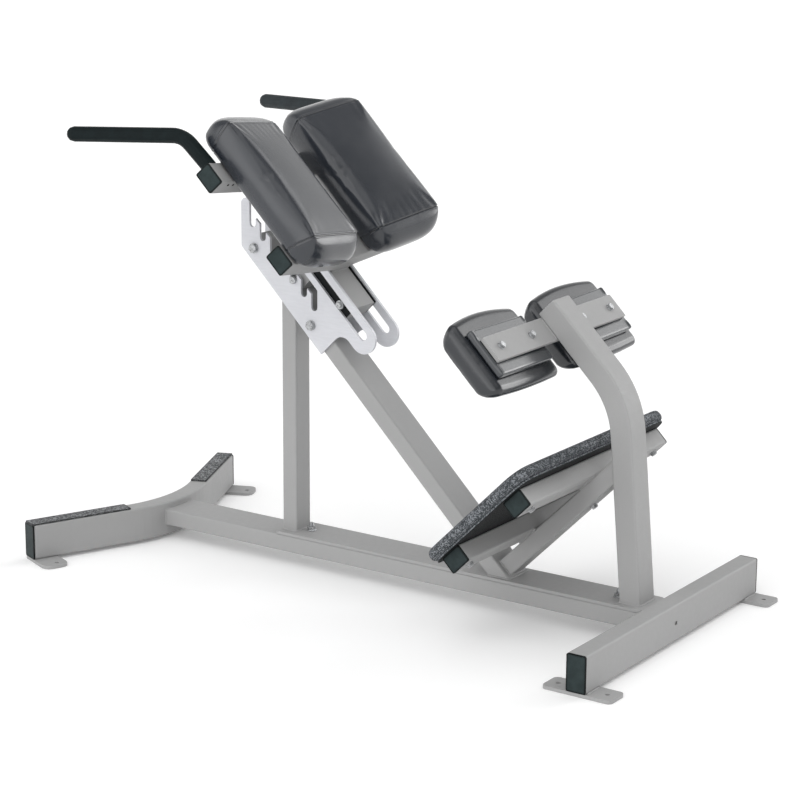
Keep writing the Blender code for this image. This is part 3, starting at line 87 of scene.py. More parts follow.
class Look:
    """A procedural finish: its shader, and short calls that add nodes in front of it."""

    def __init__(self, name, colour=None, **sockets):
        self.material = bpy.data.materials.new(name)
        self.material.use_nodes = True
        self.tree = self.material.node_tree
        self.shader = self.tree.nodes["Principled BSDF"]
        for socket, value in sockets.items():
            self.shader.inputs[socket.replace("_", " ")].default_value = value
        if colour is not None:
            self.shader.inputs["Base Color"].default_value = (*colour, 1.0)
        self.place = self.node("ShaderNodeTexCoord").outputs["Object"]

    def node(self, kind, **settings):
        return add_node(self.tree, kind, **settings)

    def put(self, socket, value):
        """Links a value into a socket, or sets it there where it is a plain number or colour."""
        if isinstance(value, bpy.types.NodeSocket):
            self.tree.links.new(value, socket)
        elif isinstance(value, tuple) and len(value) == 3 and socket.type == "RGBA":
            socket.default_value = (*value, 1.0)
        else:
            socket.default_value = value

    def to(self, socket, value):
        self.put(self.shader.inputs[socket], value)

    def stretched(self, scale):
        made = self.node("ShaderNodeMapping")
        self.put(made.inputs["Vector"], self.place)
        self.put(made.inputs["Scale"], scale)
        return made.outputs["Vector"]

    def noise(self, scale, detail=3.0, rough=0.5, place=None):
        made = self.node("ShaderNodeTexNoise")
        self.put(made.inputs["Vector"], place or self.place)
        for socket, value in (("Scale", scale), ("Detail", detail), ("Roughness", rough)):
            made.inputs[socket].default_value = value
        return made.outputs["Fac"]

    def cells(self, scale, feature="F1", output="Distance"):
        made = self.node("ShaderNodeTexVoronoi", feature=feature)
        self.put(made.inputs["Vector"], self.place)
        made.inputs["Scale"].default_value = scale
        return made.outputs[output]

    def ramp(self, source, low, high, start=0.0, end=1.0):
        """Maps a value's range on to another, kept inside it."""
        made = self.node("ShaderNodeMapRange", interpolation_type="SMOOTHSTEP")
        self.put(made.inputs["Value"], source)
        for socket, value in (("From Min", low), ("From Max", high), ("To Min", start), ("To Max", end)):
            self.put(made.inputs[socket], value)
        return made.outputs["Result"]

    def mix(self, share, first, second):
        made = self.node("ShaderNodeMix", data_type="RGBA")
        self.put(made.inputs[0], share)
        self.put(made.inputs[6], first)
        self.put(made.inputs[7], second)
        return made.outputs[2]

    def maths(self, operation, first, second=0.0):
        made = self.node("ShaderNodeMath", operation=operation)
        self.put(made.inputs[0], first)
        self.put(made.inputs[1], second)
        return made.outputs[0]

    def edges(self, radius, sharp=0.80, flat=0.99):
        """Near 1 on sharp edges of the mesh and 0 elsewhere."""
        round_normal = self.node("ShaderNodeBevel", samples=6)
        round_normal.inputs["Radius"].default_value = radius
        true_normal = self.node("ShaderNodeNewGeometry").outputs["Normal"]
        dot = self.node("ShaderNodeVectorMath", operation="DOT_PRODUCT")
        self.put(dot.inputs[0], round_normal.outputs["Normal"])
        self.put(dot.inputs[1], true_normal)
        return self.ramp(dot.outputs["Value"], sharp, flat, 1.0, 0.0)

    def bump(self, height, depth, before=None):
        made = self.node("ShaderNodeBump")
        made.inputs["Strength"].default_value = 1.0
        made.inputs["Distance"].default_value = depth
        self.put(made.inputs["Height"], height)
        if before is not None:
            self.put(made.inputs["Normal"], before)
        return made.outputs["Normal"]


def shaded(colour, factor):
    return tuple(channel * factor for channel in colour)


def powder_coat(name, colour, peel=420.0, edge_wear_and_glint=1.18):
    """Sprayed powder coat: fine orange peel, faint clouding, and lighter edges that are partly rubbed
    wear and partly a painted edge highlight.
    """
    look = Look(name, Specular_IOR_Level=0.45, Metallic=0.0)
    cloud = look.ramp(look.noise(4.0, 4.0, 0.6), 0.3, 0.7)
    body = look.mix(cloud, shaded(colour, 0.975), shaded(colour, 1.02))
    flake = look.ramp(look.noise(1500.0, 2.0), 0.35, 0.65)
    body = look.mix(flake, body, look.mix(0.5, body, shaded(colour, 1.09)))
    # Lighter edges in patches: partly rubbed wear, partly a painted highlight along the edges
    rub_and_glint = look.maths("MULTIPLY", look.edges(1.2 * MM), look.ramp(look.noise(60.0, 5.0, 0.65), 0.42, 0.62))
    look.to("Base Color", look.mix(rub_and_glint, body, shaded(colour, edge_wear_and_glint)))
    look.to("Roughness", look.ramp(look.noise(90.0, 3.0), 0.3, 0.7, 0.50, 0.60))
    look.to("Normal", look.bump(look.noise(peel, 2.0), 0.05 * MM))
    return look.material


def plate_silver(name, colour):
    """Silver sheet steel: laser-cut plate with faint rolling streaks, small handling marks, and lighter
    edges that are partly rubbed wear and partly a painted edge highlight.
    """
    look = Look(name, Metallic=0.15, Specular_IOR_Level=0.5)
    streak = look.noise(1.0, 4.0, 0.6, look.stretched((26.0, 26.0, 240.0)))
    cloud = look.ramp(look.noise(11.0, 4.0, 0.6), 0.3, 0.7)
    body = look.mix(cloud, shaded(colour, 0.955), shaded(colour, 1.03))
    body = look.mix(look.ramp(streak, 0.35, 0.7), body, look.mix(0.55, body, shaded(colour, 0.93)))
    mark = look.ramp(look.cells(120.0), 0.02, 0.07, 1.0, 0.0)
    body = look.mix(look.maths("MULTIPLY", mark, 0.35), body, shaded(colour, 0.72))
    # Lighter cut edges: partly rubbed wear, partly a painted highlight along the edges
    rub_and_glint = look.maths("MULTIPLY", look.edges(0.9 * MM), 0.5)
    look.to("Base Color", look.mix(rub_and_glint, body, shaded(colour, 1.14)))
    look.to("Roughness", look.ramp(streak, 0.3, 0.7, 0.34, 0.46))
    fine = look.noise(700.0, 2.0)
    look.to("Normal", look.bump(streak, 0.03 * MM, look.bump(fine, 0.02 * MM)))
    return look.material


def zinc(name, colour):
    """Zinc-plated steel of bolts and pins: mottled and clouded, with bright edges that are partly worn
    plating and partly a painted glint.
    """
    look = Look(name, Metallic=0.85)
    mottle = look.ramp(look.cells(650.0, output="Color"), 0.0, 1.0)
    cloud = look.ramp(look.noise(160.0, 4.0, 0.6), 0.3, 0.7)
    body = look.mix(cloud, shaded(colour, 0.55), shaded(colour, 1.05))
    body = look.mix(look.maths("MULTIPLY", mottle, 0.35), body, shaded(colour, 1.25))
    # Bright edges: partly worn plating, partly a painted glint along the edges
    look.to("Base Color", look.mix(look.edges(0.5 * MM), body, shaded(colour, 1.35)))
    look.to("Roughness", look.ramp(cloud, 0.0, 1.0, 0.24, 0.38))
    look.to("Normal", look.bump(look.noise(900.0, 3.0), 0.02 * MM))
    return look.material


def moulded(
    name, colour, grain=900.0, depth=0.05 * MM, rough=(0.38, 0.50), rim=1.9, gloss=0.3, painted_shade_outline=False
):
    """Moulded black plastic or rubber: a fine sparked grain, light specks and its own edge tone; where
    outlined, that edge tone is painted shade, a dark band round the piece's border.
    """
    look = Look(name, Specular_IOR_Level=gloss)
    # Where outlined, painted shade: a broad dark band round the border, where shade falls in the gap
    # round a cap's rim; elsewhere rim tints a thin band along the edges
    if painted_shade_outline:
        edge = look.edges(6.0 * MM, 0.97, 0.9995)
    else:
        edge = look.maths("MULTIPLY", look.edges(0.9 * MM), 0.8)
    cloud = look.ramp(look.noise(45.0, 4.0, 0.6), 0.3, 0.7)
    body = look.mix(cloud, shaded(colour, 0.85), shaded(colour, 1.2))
    speck = look.ramp(look.noise(1300.0, 2.0), 0.6, 0.75)
    body = look.mix(look.maths("MULTIPLY", speck, 0.35), body, shaded(colour, 2.4))
    look.to("Base Color", look.mix(edge, body, shaded(colour, rim)))
    look.to("Roughness", look.ramp(look.noise(220.0, 3.0), 0.3, 0.7, *rough))
    look.to("Normal", look.bump(look.cells(grain), depth, look.bump(look.noise(grain * 0.5, 3.0), depth)))
    return look.material


def vinyl(name, colour, rough=0.34, coat=0.35):
    """Upholstery vinyl: leather-like pebble grain, faint creases, and painted shade darkening it along
    its seams.
    """
    look = Look(name, Specular_IOR_Level=0.5, Coat_Weight=coat, Coat_Roughness=0.22)
    cloud = look.ramp(look.noise(9.0, 4.0, 0.55), 0.3, 0.7)
    body = look.mix(cloud, shaded(colour, 0.94), shaded(colour, 1.05))
    grain = look.ramp(look.cells(620.0), 0.05, 0.75)
    body = look.mix(look.maths("MULTIPLY", grain, 0.18), body, shaded(colour, 0.72))
    # Painted shade: darker along the seam grooves, from the seam mask that drawn_in writes
    seam_shade = look.node("ShaderNodeAttribute", attribute_name="seam").outputs["Fac"]
    body = look.mix(look.maths("MULTIPLY", seam_shade, 0.75), body, shaded(colour, 0.30))
    look.to("Base Color", body)
    look.to("Roughness", look.ramp(look.noise(30.0, 3.0), 0.3, 0.7, rough - 0.03, rough + 0.05))
    broad = look.bump(look.noise(38.0, 2.0, 0.45), 0.16 * MM)
    look.to("Normal", look.bump(grain, 0.03 * MM, look.bump(look.noise(240.0, 2.0), 0.03 * MM, broad)))
    return look.material


def granules(name, dark, light, scale, depth, share, ends_at=None):
    """Rough sheet of bonded granules: light and dark specks, a coarse, broken surface and painted shade
    as a dark band round its edges.

    With ends_at, in place of that band, it turns black past that place down the slope, as where it laps a
    board's edge.
    """
    look = Look(name, Specular_IOR_Level=0.35)
    grain = look.cells(scale, output="Color")
    speck = look.ramp(grain, share, share + 0.25)
    fine = look.ramp(look.noise(scale * 2.2, 3.0, 0.6), 0.45, 0.62)
    body = look.mix(speck, dark, light)
    body = look.mix(look.maths("MULTIPLY", fine, 0.45), body, shaded(light, 1.25))
    cloud = look.ramp(look.noise(22.0, 4.0, 0.6), 0.3, 0.7)
    body = look.mix(look.maths("MULTIPLY", cloud, 0.35), body, shaded(dark, 0.8))
    # Painted shade: a dark band round the sheet's edges, where shade falls at its rim; with ends_at the
    # lapped tread's end takes its place
    edge_shade_and_lap = look.maths("MULTIPLY", look.edges(5.0 * MM, 0.96, 0.9995), 0.9)
    if ends_at is not None:
        along = look.node("ShaderNodeVectorMath", operation="DOT_PRODUCT")
        look.put(along.inputs[0], look.place)
        along.inputs[1].default_value = (1.0 / ROOT2, 0.0, -1.0 / ROOT2)
        slope_place = ends_at + REAR_X / ROOT2
        edge_shade_and_lap = look.ramp(along.outputs["Value"], slope_place - 0.4 * MM, slope_place + 0.4 * MM)
    look.to("Base Color", look.mix(edge_shade_and_lap, body, shaded(dark, 0.25)))
    look.to("Roughness", look.ramp(fine, 0.0, 1.0, 0.72, 0.92))
    lumps = look.bump(look.cells(scale * 0.8, "SMOOTH_F1"), depth)
    look.to("Normal", look.bump(look.noise(scale * 1.5, 4.0, 0.65), depth * 0.8, lumps))
    return look.material


def thread_look(name, colour):
    look = Look(name, Specular_IOR_Level=0.3)
    twist = look.ramp(look.noise(1.0, 1.0, 0.5, look.stretched((1800.0, 1800.0, 1800.0))), 0.35, 0.65)
    look.to("Base Color", look.mix(twist, shaded(colour, 0.6), shaded(colour, 1.4)))
    look.to("Roughness", 0.7)
    look.to("Normal", look.bump(twist, 0.08 * MM))
    return look.material


PAINT = (0.352, 0.352, 0.352)
PLASTIC_BLACK = (0.027, 0.038, 0.039)
# Painted light: a lighter copy of the grip black for the far handle, where more light falls on it
GRIP_BLACK = (0.006, 0.011, 0.012)
LIT_GRIP_BLACK = (0.022, 0.028, 0.031)
BOARD_BLACK = (0.010, 0.011, 0.012)

# Grain, its depth and the roughness of rubber grips
GRIP_GRAIN = (700.0, 0.09 * MM, (0.50, 0.62))

# Dark and light granules, their scale, depth and dark share
GRIT = ((0.020, 0.022, 0.024), (0.34, 0.35, 0.36), 380.0, 0.5 * MM, 0.50)
TREAD = ((0.020, 0.025, 0.029), (0.24, 0.255, 0.275), 430.0, 0.7 * MM, 0.47)

LOOKS = {
    "frame_paint": powder_coat("powder_coat_grey", PAINT),
    "plate_paint": plate_silver("plate_silver", (0.65, 0.657, 0.69)),
    "steel": zinc("zinc_plate", (0.50, 0.51, 0.52)),
    # Caps and plugs: painted shade as a dark outline round their borders
    "black_plastic": moulded("cap_plastic", PLASTIC_BLACK, rim=0.02, gloss=0.10, painted_shade_outline=True),
    "glide_plastic": moulded("glide_plastic", (0.004, 0.005, 0.006), rim=0.5, gloss=0.15),
    "grip_rubber": moulded("grip_rubber", GRIP_BLACK, *GRIP_GRAIN, gloss=0.13),
    # Painted light: the far handle's grip, a lit copy of the near one's rubber
    "lit_grip_rubber": moulded("lit_grip_rubber", LIT_GRIP_BLACK, *GRIP_GRAIN, gloss=0.2),
    "pad_vinyl": vinyl("pad_vinyl", (0.024, 0.028, 0.036), 0.22, 0.6),
    "ankle_vinyl": vinyl("ankle_vinyl", (0.013, 0.016, 0.021), 0.20, 0.6),
    "board_vinyl": vinyl("board_vinyl", (0.036, 0.041, 0.047), 0.20, 0.9),
    "board_black": moulded("board_black", BOARD_BLACK, 500.0, 0.08 * MM, (0.6, 0.75), gloss=0.2),
    "tape_rubber": granules("grit_strip", *GRIT),
    "tread_rubber": granules("tread_granules", *TREAD),
}
THREAD = thread_look("seam_thread", (0.030, 0.033, 0.038))


def framed_box(node, frame_matrix=SLOPE):
    """Lowest and highest places of a node in the axes of a frame, by default the slope's."""
    back = frame_matrix.inverted()
    places = np.array([(back @ vertex.co)[:] for vertex in NODES[node].data.vertices])
    return places.min(axis=0), places.max(axis=0)


# The tread laps this share of the foot board's edge
BOARD_LAPPED = 0.80
BOARD_TOP, BOARD_FOOT = [corner[0] for corner in framed_box("foot_board")]
BOARD_LAP_END = BOARD_TOP + BOARD_LAPPED * (BOARD_FOOT - BOARD_TOP)
LOOKS["lapped_board"] = granules("lapped_board", *TREAD, BOARD_LAP_END)

# Nodes with a finish apart from their slot's
NODE_LOOKS = {
    "foot_board": "lapped_board",
    # The far handle's lighter grip is painted light, a lit copy of the near handle's rubber
    "handle_far": "lit_grip_rubber",
    "glide_near": "glide_plastic",
    "glide_far": "glide_plastic",
}


def dress_nodes():
    """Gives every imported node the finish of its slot."""
    for row in frame["record"]["subparts"]:
        obj = NODES[row["node"]]
        look = LOOKS[NODE_LOOKS.get(row["node"], row["material_slot"])]
        for slot in obj.material_slots:
            slot.material = look


# Padded covers: grids, seams, puckers and stitches

CELL = 5.5 * MM
EDGE_TURNS = (9.0, 18.0, 26.0, 33.0, 38.5, 42.3, 45.0)
FINE_STEP = 0.4 * MM
ROLL_ASIDE = 3.2 * MM
ROLL_WIDTH = 1.6 * MM
PUCKER_PITCH = 9.0 * MM
PUCKER_REACH = 7.0 * MM
PUCKER_START = 2.0 * MM
STITCH_ASIDE = 2.6 * MM
STITCH_RADIUS = 0.42 * MM
STITCH_LIFT = 0.10 * MM

# How firmly the cloth is held along a seam, where 1 doesn't move
SEAM_HOLD = 0.9
CLOTH_FRAMES = 20
CLOTH_SETTINGS = {
    "quality": 5,
    "mass": 0.25,
    "tension_stiffness": 18.0,
    "compression_stiffness": 18.0,
    "shear_stiffness": 8.0,
    "bending_stiffness": 1.2,
    "use_pressure": True,
    "uniform_pressure_force": 4.0,
    "vertex_group_mass": "pinned",
    "pin_stiffness": 1.0,
}


def axis_cuts(half, radius, cell):
    """Grid lines along one axis of a rounded box, closer together towards its edges."""
    flat = half - radius
    count = max(2, round(flat / cell))
    side = [flat * index / count for index in range(count + 1)]
    side += [flat + radius * math.tan(math.radians(turn)) for turn in EDGE_TURNS]
    return [-place for place in reversed(side[1:])] + side


def rounded_grid(half, radius, cell):
    """A closed, evenly gridded rounded box: places, grid keys, faces and each axis' last key."""
    cuts = [axis_cuts(size, radius, cell) for size in half]
    last = [len(cut) - 1 for cut in cuts]
    found = {}
    faces = []
    for axis in range(3):
        first, second = (axis + 1) % 3, (axis + 2) % 3
        for end in (0, last[axis]):
            for p in range(last[first]):
                for q in range(last[second]):
                    ring = []
                    for step_p, step_q in ((0, 0), (1, 0), (1, 1), (0, 1)):
                        key = [0, 0, 0]
                        key[axis], key[first], key[second] = end, p + step_p, q + step_q
                        ring.append(found.setdefault(tuple(key), len(found)))
                    faces.append(ring if end else ring[::-1])
    keys = np.array(list(found))
    places = np.column_stack([np.array(cuts[axis])[keys[:, axis]] for axis in range(3)])
    reach = np.array(half) - radius
    core = np.clip(places, -reach, reach)
    out = places - core
    places = core + out / np.linalg.norm(out, axis=1, keepdims=True) * radius
    return places, keys, faces, last


def end_loop(keys, last, axis, end):
    """The points round the border of one end of a grid box, in order."""
    first, second = (axis + 1) % 3, (axis + 2) % 3
    found = {tuple(key): index for index, key in enumerate(keys)}
    walk = [(p, 0) for p in range(last[first])]
    walk += [(last[first], q) for q in range(last[second])]
    walk += [(p, last[second]) for p in range(last[first], 0, -1)]
    walk += [(0, q) for q in range(last[second], 0, -1)]
    loop = []
    for p, q in walk:
        key = [0, 0, 0]
        key[axis], key[first], key[second] = end, p, q
        loop.append(found[tuple(key)])
    return loop


def mesh_object(name, places, faces, look):
    mesh = bpy.data.meshes.new(name)
    mesh.from_pydata([tuple(place) for place in places], [], faces)
    mesh.materials.append(look)
    return new_object(name, mesh)


def evaluated(obj):
    """Applies what modifiers an object has."""
    graph = bpy.context.evaluated_depsgraph_get()
    mesh = bpy.data.meshes.new_from_object(obj.evaluated_get(graph), depsgraph=graph)
    old = obj.data
    obj.modifiers.clear()
    obj.data = mesh
    mesh.name = obj.name
    bpy.data.meshes.remove(old)


def mesh_places(mesh):
    flat = np.empty(len(mesh.vertices) * 3)
    mesh.vertices.foreach_get("co", flat)
    return flat.reshape(-1, 3)


def set_places(mesh, places):
    mesh.vertices.foreach_set("co", places.ravel())
    mesh.update()


def smooth(mesh):
    for polygon in mesh.polygons:
        polygon.use_smooth = True


def surface_of(mesh):
    """A mesh as a surface on which places are found."""
    return bvhtree.BVHTree.FromPolygons(
        [vertex.co for vertex in mesh.vertices],
        [polygon.vertices[:] for polygon in mesh.polygons],
    )


def swollen(obj, pinned, cap):
    """Blows a cover up as cloth under pressure, holds how far it may move, and keeps that shape."""
    scene = bpy.context.scene
    group = obj.vertex_groups.new(name="pinned")
    for index, weight in pinned.items():
        group.add([index], weight, "REPLACE")
    cloth = obj.modifiers.new("cloth", "CLOTH")
    for key, value in CLOTH_SETTINGS.items():
        setattr(cloth.settings, key, value)
    cloth.settings.effector_weights.gravity = 0.0
    cloth.collision_settings.use_collision = False
    cloth.point_cache.frame_start = 1
    cloth.point_cache.frame_end = CLOTH_FRAMES
    start = mesh_places(obj.data)
    for number in range(1, CLOTH_FRAMES + 1):
        scene.frame_set(number)
    graph = bpy.context.evaluated_depsgraph_get()
    settled = mesh_places(obj.evaluated_get(graph).data)
    obj.modifiers.remove(cloth)
    obj.vertex_groups.clear()
    scene.frame_set(1)
    moved = settled - start
    length = np.linalg.norm(moved, axis=1, keepdims=True)
    held = cap * np.tanh(length / cap)
    set_places(obj.data, start + moved / np.maximum(length, 1e-9) * held)


def subdivided(obj):
    modifier = obj.modifiers.new("fine", "SUBSURF")
    modifier.levels = 1
    modifier.render_levels = 1
    evaluated(obj)


def cut_evenly(places, step, closed, least):
    """A line through places, cut evenly: its new places, and how far along each of them is."""
    points = np.array([place[:] for place in places])
    if closed:
        points = np.vstack([points, points[:1]])
    steps = np.linalg.norm(np.diff(points, axis=0), axis=1)
    along = np.concatenate([[0.0], np.cumsum(steps)])
    count = max(least, round(along[-1] / step))
    cuts = np.linspace(0.0, along[-1], count, endpoint=not closed)
    return np.column_stack([np.interp(cuts, along, points[:, axis]) for axis in range(3)]), cuts


def fine_line(places):
    """A closed line through places, cut evenly and finely."""
    return cut_evenly(places, FINE_STEP, True, 2)[0]


def wave(count, pitch, seed):
    """A smooth run of values between -1 and 1 that closes on itself."""
    source = random.Random(seed)
    knots = max(4, round(count * FINE_STEP / pitch))
    values = [source.uniform(-1.0, 1.0) for _ in range(knots)]
    run = []
    for index in range(count):
        place = index / count * knots
        low = int(place)
        turn = (1.0 - math.cos((place - low) * math.pi)) / 2
        run.append(values[low % knots] * (1.0 - turn) + values[(low + 1) % knots] * turn)
    return np.array(run)


def drawn_in(obj, lines, depth=1.5 * MM, width=1.3 * MM, roll=0.7 * MM, pucker=0.10 * MM, shade=1.0):
    """Draws a cover in along its seams: a groove, a roll on each side and small puckers, and writes a
    mask of painted shade along each seam.
    """
    mesh = obj.data
    tree = kdtree.KDTree(sum(len(line) for line in lines))
    runs = []
    count = 0
    for seed, line in enumerate(lines):
        for place in line:
            tree.insert(Vector(place), count)
            count += 1
        runs.append(wave(len(line), PUCKER_PITCH, seed + 11))
    tree.balance()
    run = np.concatenate(runs)
    places = mesh_places(mesh)
    nearest = [tree.find(Vector(place)) for place in places]
    away = np.array([found[2] for found in nearest])
    gather = run[np.array([found[1] for found in nearest])]
    normals = np.array([vertex.normal[:] for vertex in mesh.vertices])
    shift = roll * np.exp(-(((away - ROLL_ASIDE) / ROLL_WIDTH) ** 2))
    shift -= depth * np.exp(-((away / width) ** 2))
    shift += pucker * gather * np.exp(-away / PUCKER_REACH) * np.minimum(1.0, away / PUCKER_START)
    set_places(mesh, places + normals * shift[:, None])
    # Painted shade along the seam groove, read by the vinyl finish
    seam = mesh.attributes.new("seam", "FLOAT", "POINT")
    seam.data.foreach_set("value", shade * np.exp(-((away / (0.9 * width)) ** 2)))
    smooth(mesh)


def capsule(length, radius, sides=6):
    """Points and faces of a small stitch that lies along x."""
    rings = ((-0.5, 0.35), (-0.38, 0.85), (0.0, 1.0), (0.38, 0.85), (0.5, 0.35))
    places = []
    for along, wide in rings:
        for index in range(sides):
            turn = 2 * math.pi * index / sides
            rise = radius * (0.5 * math.cos(along * math.pi) - 0.25) + wide * radius * math.sin(turn)
            places.append((along * length, wide * radius * math.cos(turn), rise))
    faces = [tuple(reversed(range(sides)))]
    for ring in range(len(rings) - 1):
        for index in range(sides):
            following = (index + 1) % sides
            low = ring * sides
            faces.append((low + index, low + following, low + sides + following, low + sides + index))
    faces.append(tuple(range((len(rings) - 1) * sides, len(rings) * sides)))
    return places, faces


def stitched(name, cover, lines, side, body, pitch=4.6 * MM, length=3.2 * MM, skip=None):
    """A row of thread stitches beside each seam, on the cover's surface."""
    surface = surface_of(cover.data)
    shape, shape_faces = capsule(length, STITCH_RADIUS)
    places, faces = [], []
    for line in lines:
        step = max(1, round(pitch / FINE_STEP))
        for index in range(0, len(line) - step // 2, step):
            here = Vector(line[index])
            along = (Vector(line[(index + 2) % len(line)]) - here).normalized()
            if skip is not None and skip(here):
                continue
            aim = here + Vector(side(here)) * STITCH_ASIDE
            spot, normal, _, _ = surface.find_nearest(aim)
            across = normal.cross(along).normalized()
            ahead = across.cross(normal).normalized()
            turned = Matrix((ahead, across, normal)).transposed()
            base = len(places)
            places += [spot + normal * STITCH_LIFT + turned @ Vector(point) for point in shape]
            faces += [tuple(base + corner for corner in face) for face in shape_faces]
    obj = mesh_object(name, places, faces, THREAD)
    smooth(obj.data)
    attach(obj, body)
    return obj


def node_frame(node, rotation):
    """Lowest and highest places of a node along turned axes."""
    back = rotation.to_3x3().transposed()
    mesh = NODES[node].data
    matrix = NODES[node].matrix_world
    places = np.array([(back @ (matrix @ vertex.co))[:] for vertex in mesh.vertices])
    return places.min(axis=0), places.max(axis=0)


# Hip pads, with the sizes of their solids
HIP_HALF = (0.1490, 0.09825, 0.0389)
HIP_EDGE = 0.0125
HIP_TILT = math.radians(10.0)
HIP_SWELL = 0.0016
HIP_END_BULGE = 0.0430
HIP_END_FULL = 0.56
HIP_END_TURN = 0.72
HIP_END_TUCK = 0.0120
HIP_OUTER_POWER = 4
HIP_INNER_POWER = 6
HIP_SEAM_LEAN = 0.0200
HIP_SIDE_BULGE = 0.0030
HIP_CORNER_POWER = 6
HIP_CROWN = 0.0050
HIP_TUCK = 0.0300
HIP_CAP = 3.5 * MM
HIP_STITCH_LOW = 4.0 * MM
BOARD_LAP = 0.0030
BOARD_DEEP = 0.0040
BOARD_RISE = 0.0050


def hip_form(places, outward):
    """The boxed form of a hip pad: crowned top, full ends, drawn in towards its board."""
    half = np.array(HIP_HALF)
    u, v, w = (places / half).T
    x, y, z = places.T.copy()
    depth = np.clip((1.0 - w) / 2, 0.0, 1.0)
    end = HIP_END_BULGE * np.sin(np.minimum(1.0, depth / HIP_END_FULL) * math.pi / 2) ** HIP_END_TURN
    end -= HIP_END_TUCK * np.maximum(0.0, (depth - HIP_END_FULL) / (1.0 - HIP_END_FULL)) ** 2
    power = np.where(v * outward > 0.0, HIP_OUTER_POWER, HIP_INNER_POWER)
    end *= np.sqrt(1.0 - np.minimum(1.0, np.abs(v)) ** power)
    side = HIP_SIDE_BULGE * np.cos(w * math.pi / 2)
    x += end * np.copysign(np.abs(u) ** HIP_CORNER_POWER, u)
    y += side * np.copysign(np.abs(v) ** HIP_CORNER_POWER, v)
    crown = HIP_CROWN * w * (1.0 - np.minimum(1.0, u * u)) * (1.0 - np.minimum(1.0, v * v))
    z += np.where(w > 0.0, crown, 0.0)
    y *= np.where(w > 0.0, 1.0, 1.0 + HIP_TUCK * w)
    return np.column_stack([x, y, z + half[2]])


def leaned(cover, line):
    """A seam that leans in towards the pad's middle on its way down, kept on the cover."""
    surface = surface_of(cover.data)
    top = line[:, 2].max()
    depth = np.clip((top - line[:, 2]) / top, 0.0, 1.0)
    half = HIP_HALF[0]
    aim = line.copy()
    aim[:, 0] = np.copysign(half - HIP_SEAM_LEAN * depth, line[:, 0])
    return fine_line([surface.find_nearest(Vector(place))[0][:] for place in aim])


def open_round_board(cover, low, high):
    """Opens a cover's underside round its board, so that the board shows flush with it."""
    places = mesh_places(cover.data)
    inside = np.minimum(places[:, :2] - low[:2], high[:2] - places[:, :2]).min(axis=1)
    share = np.clip(inside / BOARD_LAP + 0.5, 0.0, 1.0)
    share = share * share * (3.0 - 2.0 * share)
    under = places[:, 2] < BOARD_DEEP
    places[:, 2] = np.where(under, np.maximum(places[:, 2], 0.0) + BOARD_RISE * share, places[:, 2])
    set_places(cover.data, places)


def held_points(keys, end, loops):
    """Full hold on the face that rests on its board, and a lesser one along the seams."""
    pins = {index: 1.0 for index, key in enumerate(keys) if key[2] == end}
    pins.update({index: SEAM_HOLD for loop in loops for index in loop})
    return pins


def hip_covers():
    for side, sign in SIDES:
        rotation = tilted(sign * HIP_TILT)
        low, high = node_frame("hip_pad_" + side, rotation)
        full = hip_form(rounded_grid(HIP_HALF, HIP_EDGE, CELL)[0], sign)
        centre = ((low + high) - (full.min(axis=0) + full.max(axis=0))) / 2
        middle = rotation @ Vector((centre[0], centre[1], low[2]))
        smaller = np.array(HIP_HALF) - (HIP_SWELL, HIP_SWELL, HIP_SWELL / 2)
        places, keys, faces, last = rounded_grid(smaller, HIP_EDGE, CELL)
        form = hip_form(places, sign)
        form[:, 2] -= HIP_SWELL / 2
        cover = mesh_object("hip_cover_" + side, form, faces, LOOKS["pad_vinyl"])
        loops = [end_loop(keys, last, 0, end) for end in (0, last[0])]
        swollen(cover, held_points(keys, 0, loops), HIP_CAP)
        lines = [fine_line(mesh_places(cover.data)[loop]) for loop in loops]
        subdivided(cover)
        lines = [leaned(cover, line) for line in lines]
        drawn_in(cover, lines)
        board_low, board_high = node_frame("hip_board_" + side, rotation)
        shift = np.array((centre[0], centre[1], low[2]))
        open_round_board(cover, board_low - shift, board_high - shift)
        matrix = Matrix.Translation(middle) @ rotation
        stitches = stitched(
            "hip_stitches_" + side,
            cover,
            lines,
            lambda here: (-math.copysign(1.0, here.x), 0.0, 0.0),
            "carriage",
            skip=lambda here: here.z < HIP_STITCH_LOW,
        )
        cover.data.transform(matrix)
        stitches.data.transform(matrix)
        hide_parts("hip_pad_" + side)
        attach(cover, "carriage")


# Ankle pads, with the sizes of their solids
ANKLE_HALF = (0.0800, 0.1210, 0.0265)
ANKLE_EDGE = 0.0160
ANKLE_TILT = math.radians(2.0)
ANKLE_SWELL = 0.0014
ANKLE_ROUND = {"up": 0.26, "down": 0.36}
ANKLE_ROUND_POWER = 2.2
ANKLE_CROWN = 0.0080
ANKLE_BULGE = 0.0030
ANKLE_BARREL = {"up": 0.17, "down": 0.05}
ANKLE_CORNER_POWER = 8
ANKLE_CAP = 3.0 * MM

# How far a cover stands past its solid up and down the slope, as a share of its half length
ANKLE_PROUD = {"up": 0.07, "down": 0.06}


def ankle_form(places, proud=0.0):
    """The D-shaped form of an ankle pad: flat back, round front below it, full ends."""
    half = np.array(ANKLE_HALF)
    x, y, z = places.T.copy()
    grown = 1.0 + proud * np.where(x > 0.0, ANKLE_PROUD["down"], ANKLE_PROUD["up"])
    w = z / half[2]
    v = y / half[1]
    front = np.maximum(0.0, (1.0 - w) / 2)
    rounding = np.where(x > 0.0, ANKLE_ROUND["down"], ANKLE_ROUND["up"])
    barrel = np.where(x > 0.0, ANKLE_BARREL["down"], ANKLE_BARREL["up"])
    x *= 1.0 - rounding * front ** ANKLE_ROUND_POWER
    x *= 1.0 + barrel * (1.0 - np.minimum(1.0, v * v))
    u = x / half[0]
    x *= grown
    crown = (1.0 - np.minimum(1.0, u * u)) * (1.0 - np.minimum(1.0, v * v))
    z -= ANKLE_CROWN * front * crown
    y += ANKLE_BULGE * np.cos(w * math.pi / 2) * np.copysign(np.abs(v) ** ANKLE_CORNER_POWER, v)
    return np.column_stack([x, y, z - half[2]])


